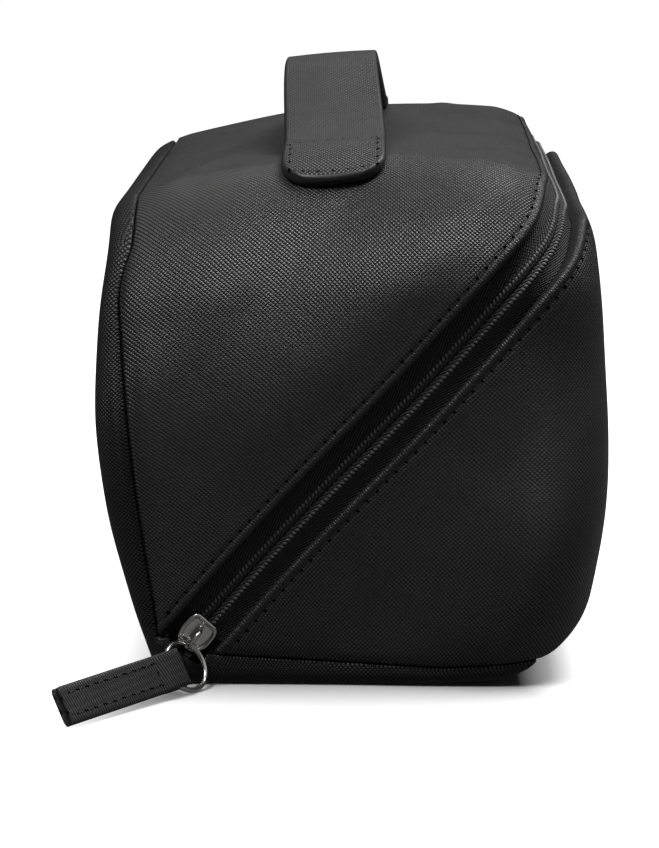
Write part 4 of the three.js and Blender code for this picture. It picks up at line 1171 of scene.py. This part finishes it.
PLATE_OUTLINE = [(4.9, -3.6), (4.9, 3.6), (2.3, 4.6), (-1.7, 4.6), (-4.9, 2.7), (-4.9, -2.7), (-1.7, -4.6), (2.3, -4.6)]
PLATE_LAYERS = [(0.5, -2.1), (0.12, -2.0), (0.0, -1.75), (0.0, -1.25), (0.1, -0.98), (0.32, -0.82), (0.6, -0.8),
                (0.85, -0.95), (1.05, -1.12), (1.4, -1.2), (1.9, -1.24)]
BACK_OUTLINE = [(4.2, -3.7), (4.2, 3.7), (-4.2, 3.7), (-4.2, -3.7)]
BACK_LAYERS = [(0.3, -6.7), (0.0, -6.5), (0.0, -5.75), (0.25, -5.5)]
BRIDGE = [(-3.9, 0, -1.2), (-3.95, 0, 0.6), (-3.6, 0, 2.4), (-2.8, 0, 2.95), (-1.2, 0, 3.1), (0.2, 0, 3.05),
          (1.3, 0, 2.7), (1.85, 0, 1.9), (1.95, 0, 0.4), (1.95, 0, -1.2)]
NECK = [(3.9, 0, -2.15), (3.9, 0, -1.3)]
plate = layered("slider_plate", rounded(PLATE_OUTLINE, 1.7), PLATE_LAYERS)
adopt(plate, "slider", "zip_metal", "slider_body")
adopt(layered("slider_back", rounded(BACK_OUTLINE, 1.6), BACK_LAYERS), "slider", "zip_metal")
adopt(wire("slider_bridge", slider_points(BRIDGE), 0.62, 14, slider_y), "slider", "zip_metal")
adopt(wire("slider_neck", slider_points(NECK), 0.55, 10, slider_y), "slider", "zip_metal")

# Pull ring and tab
PULL_TURN, PULL_MIDDLE = (-60, 1.7, 231.1), (-43.416892, -123.382001, 6.761691)
RING_RADIUS, RING_WIRE = 6.8, 0.75
pull_turn = Euler([math.radians(angle) for angle in PULL_TURN], "XYZ").to_matrix()
pull_axes = np.array([list(pull_turn.col[n]) for n in range(3)])
pull_origin = np.array(PULL_MIDDLE)


def pull_points(local):
    return pull_origin + np.asarray(local) @ pull_axes


angles = np.linspace(0, 2 * math.pi, 96, endpoint=False)
circle = np.column_stack([RING_RADIUS * np.cos(angles), RING_RADIUS * np.sin(angles), 0 * angles])
ring = wire("ring", pull_points(circle), RING_WIRE, 16, pull_axes[2], closed=True)
adopt(ring, "ring", "zip_metal", "pull_ring")

TAB_START, TAB_LENGTH, TAB_HALF, TAB_CORNER, TAB_CROWN = 1.6, 45.0, 5.25, 0.6, 0.16
BACK_LONGER, TAB_STITCH_LIFT = 0.9, 1.26
TAB_SEWN_FROM, TAB_SEWN_HALF, TAB_SEWN_INSET = 11.8, 2.95, 2.4
tab_end = TAB_START + TAB_LENGTH


def tab_layer(side):
    """Outline of one tab layer: its outer and inner heights at places along the tab."""
    along_tab = np.concatenate([np.linspace(TAB_START, 4, 9), np.linspace(4.4, 12, 16),
                                np.linspace(13, tab_end - 0.7, 40), tab_end - np.array([0.5, 0.3, 0.12, 0.0])])
    outer_side = np.interp(along_tab, [1.6, 2.0, 2.7, 8.0, 9.5, 11.6, tab_end],
                           [1.15, 1.7, 2.22, 2.2, 1.85, 1.25, 1.22])
    inner_side = np.interp(along_tab, [1.6, 2.7, 8.0, 11.6, tab_end], [1.1, 1.15, 1.12, 0.14, 0.13])
    return along_tab, side * outer_side, side * inner_side


def build_tab():
    pieces = []
    for side, name in ((1, "tab_front"), (-1, "tab_back")):
        along_tab, high, low = tab_layer(side)
        across = np.linspace(-1, 1, 17)
        rings = []
        for x, top, bottom in zip(along_tab, high, low):
            from_end = tab_end - x
            width = TAB_HALF
            if from_end < TAB_CORNER:
                width += math.sqrt(max(0.0, TAB_CORNER ** 2 - (TAB_CORNER - max(from_end, 0)) ** 2)) - TAB_CORNER
            if side < 0:
                x += BACK_LONGER * float(smooth((x - 20) / 26))
            ring = []
            for a in across:
                crown = TAB_CROWN * math.sqrt(max(0.0, 1 - a ** 6)) - TAB_CROWN
                ring.append((x, a * width, top + side * crown * 2.0))
            for a in across[::-1]:
                ring.append((x, a * (width - 0.05), bottom))
            rings.append(ring)
        rings = np.array(rings)
        faces = tube_faces(*rings.shape[:2])
        if side < 0:
            faces = [f[::-1] for f in faces]
        places = np.column_stack([rings[..., 1].ravel(), rings[..., 0].ravel()])
        pieces.append(make(name, pull_points(rings.reshape(-1, 3)), faces, tab_leather, places))
    return pieces


tab_front, tab_back = build_tab()
adopt(tab_front, "tab", "tab_leather", "pull_tab")
adopt(tab_back, "tab", "tab_leather")
sewn_to = tab_end - TAB_SEWN_INSET
path = polyline([(sewn_to, -TAB_SEWN_HALF), (TAB_SEWN_FROM, -TAB_SEWN_HALF), (TAB_SEWN_FROM, TAB_SEWN_HALF),
                 (sewn_to, TAB_SEWN_HALF)], 50)
for side in (1, -1):
    spot = pull_points(np.column_stack([path, np.full(len(path), side * TAB_STITCH_LIFT)]))
    normal = np.tile(pull_axes[2] * side, (len(path), 1))
    stitch_row(f"tab_stitches_{'front' if side > 0 else 'back'}", spot, normal, TAB_STITCH, "tab")

for name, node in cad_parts.items():
    if name.startswith("zip_stop"):
        node.data.materials.clear()
        node.data.materials.append(metal)

# Floor, backdrop, lights and camera
FLOOR_HALF, FLOOR_HEIGHT, FLOOR_FOR_LIGHT = 3000.0, -0.05, 0.15
# Where the floor begins and ends to glow for the camera, in metres: beside, before and behind the bag, and further out.
# With no glow near the bag, a darker zone is painted round it, over its real shadow
BESIDE, BEFORE, WELL_BEFORE, BEFORE_GLOW, MIRRORED_GLOW = (0.046, 0.072), (0.117, 0.165), (-0.3, -0.2), 0.8, 0.06
# The world's light on matt and on glossy surfaces, its least height, and its fade to the left
AMBIENT, GLOSSY, OVERHEAD, FADE_LEFT = 0.022, (0.0, 0.6), (0.12, 0.6), (-0.7, 0.0, 0.2)
LIT_PLACE = (0, 0.0, 0.1)
# Name, place and size of each lamp in metres, and its power in watts
LAMPS = (("top_light", (0.32, 0.05, 0.9), 0.4, 6.3), ("left_light", (-0.34, -0.34, 0.85), 0.3, 3.9))
# The fitted camera: its place in metres, its turns in degrees, its focal length and the photo's height in pixels
CAMERA_PLACE, CAMERA_TURN = (0.0135, -0.9675, 0.231), (79.4, 0, 1.243)
FOCAL_PIXELS, PHOTO_HEIGHT, SENSOR = 3250, 848, 36


def mirror_rays(nodes, path):
    return nodes.math("MAXIMUM", path.outputs["Is Glossy Ray"], path.outputs["Is Transmission Ray"])


floor_material, nodes, shader = new_material("floor", (0.9, 0.9, 0.9), 0.85, Specular_IOR_Level=0.1)
path = nodes.add("ShaderNodeLightPath")
mirrored = mirror_rays(nodes, path)
place = nodes.add("ShaderNodeTexCoord").outputs["Object"]
tone = nodes.blend(nodes.noise(place, 40.0), (0.88, 0.88, 0.88), (0.92, 0.92, 0.92))
seen = path.outputs["Is Camera Ray"]
tone = nodes.blend(seen, (FLOOR_FOR_LIGHT,) * 3, tone)
split = nodes.add("ShaderNodeSeparateXYZ")
nodes.put(split.inputs[0], place)
beside = nodes.spread(nodes.math("ABSOLUTE", split.outputs[0]), *BESIDE)
before = nodes.spread(nodes.math("ABSOLUTE", split.outputs[1]), *BEFORE, 0.0, BEFORE_GLOW)
behind = nodes.spread(split.outputs[1], *BEFORE)
well_before = nodes.spread(split.outputs[1], *WELL_BEFORE, 1.0, 0.0)
# Partly painted shade: the floor glows white only away from the bag, so near it the floor stays darker as well as
# showing its real shadow
glow_beyond_painted_shade = nodes.math("MAXIMUM", nodes.math("MAXIMUM", beside, before), nodes.math("MAXIMUM", behind, well_before))
glow = nodes.math("MAXIMUM", nodes.math("MULTIPLY", seen, glow_beyond_painted_shade), nodes.math("MULTIPLY", mirrored, MIRRORED_GLOW))
nodes.connect(shader, Base_Color=tone, Emission_Color=(1, 1, 1, 1), Emission_Strength=glow)
corners = [(x * FLOOR_HALF, y * FLOOR_HALF, FLOOR_HEIGHT) for x, y in ((-1, -1), (1, -1), (1, 1), (-1, 1))]
floor = make("floor", np.array(corners), [(0, 1, 2, 3)], floor_material)

world = bpy.data.worlds.new("studio")
bpy.context.scene.world = world
world.use_nodes = True
nodes = Nodes(world.node_tree)
background = nodes.tree.nodes["Background"]
path = nodes.add("ShaderNodeLightPath")
split = nodes.add("ShaderNodeSeparateXYZ")
nodes.put(split.inputs[0], nodes.add("ShaderNodeTexCoord").outputs["Generated"])
overhead = nodes.spread(split.outputs[2], *OVERHEAD)
from_left = nodes.spread(split.outputs[0], *FADE_LEFT, 1.0)
studio = nodes.math("MULTIPLY", nodes.spread(overhead, 0.0, 1.0, *GLOSSY), from_left)
mirrored = nodes.math("MULTIPLY", mirror_rays(nodes, path), studio)
diffuse = nodes.math("MULTIPLY", path.outputs["Is Diffuse Ray"], AMBIENT)
strength = nodes.math("MAXIMUM", path.outputs["Is Camera Ray"], nodes.math("MAXIMUM", mirrored, diffuse))
nodes.connect(background, Color=(1, 1, 1, 1), Strength=strength)


def area_light(name, place, size, power):
    """A square lamp that points at the bag."""
    data = bpy.data.lights.new(name, "AREA")
    data.shape, data.size, data.size_y, data.energy = "RECTANGLE", size, size, power
    lamp = bpy.data.objects.new(name, data)
    lamp.location = place
    lamp.rotation_euler = (Vector(LIT_PLACE) - Vector(place)).to_track_quat("-Z", "Y").to_euler()
    bpy.context.collection.objects.link(lamp)


for lamp_values in LAMPS:
    area_light(*lamp_values)

camera_data = bpy.data.cameras.new("camera")
camera_data.sensor_width, camera_data.sensor_fit = SENSOR, "AUTO"
camera_data.lens = FOCAL_PIXELS * SENSOR / PHOTO_HEIGHT
camera = bpy.data.objects.new("camera", camera_data)
camera.location = CAMERA_PLACE
camera.rotation_euler = [math.radians(angle) for angle in CAMERA_TURN]
bpy.context.collection.objects.link(camera)
bpy.context.scene.camera = camera
bpy.context.scene.view_settings.view_transform = "Standard"
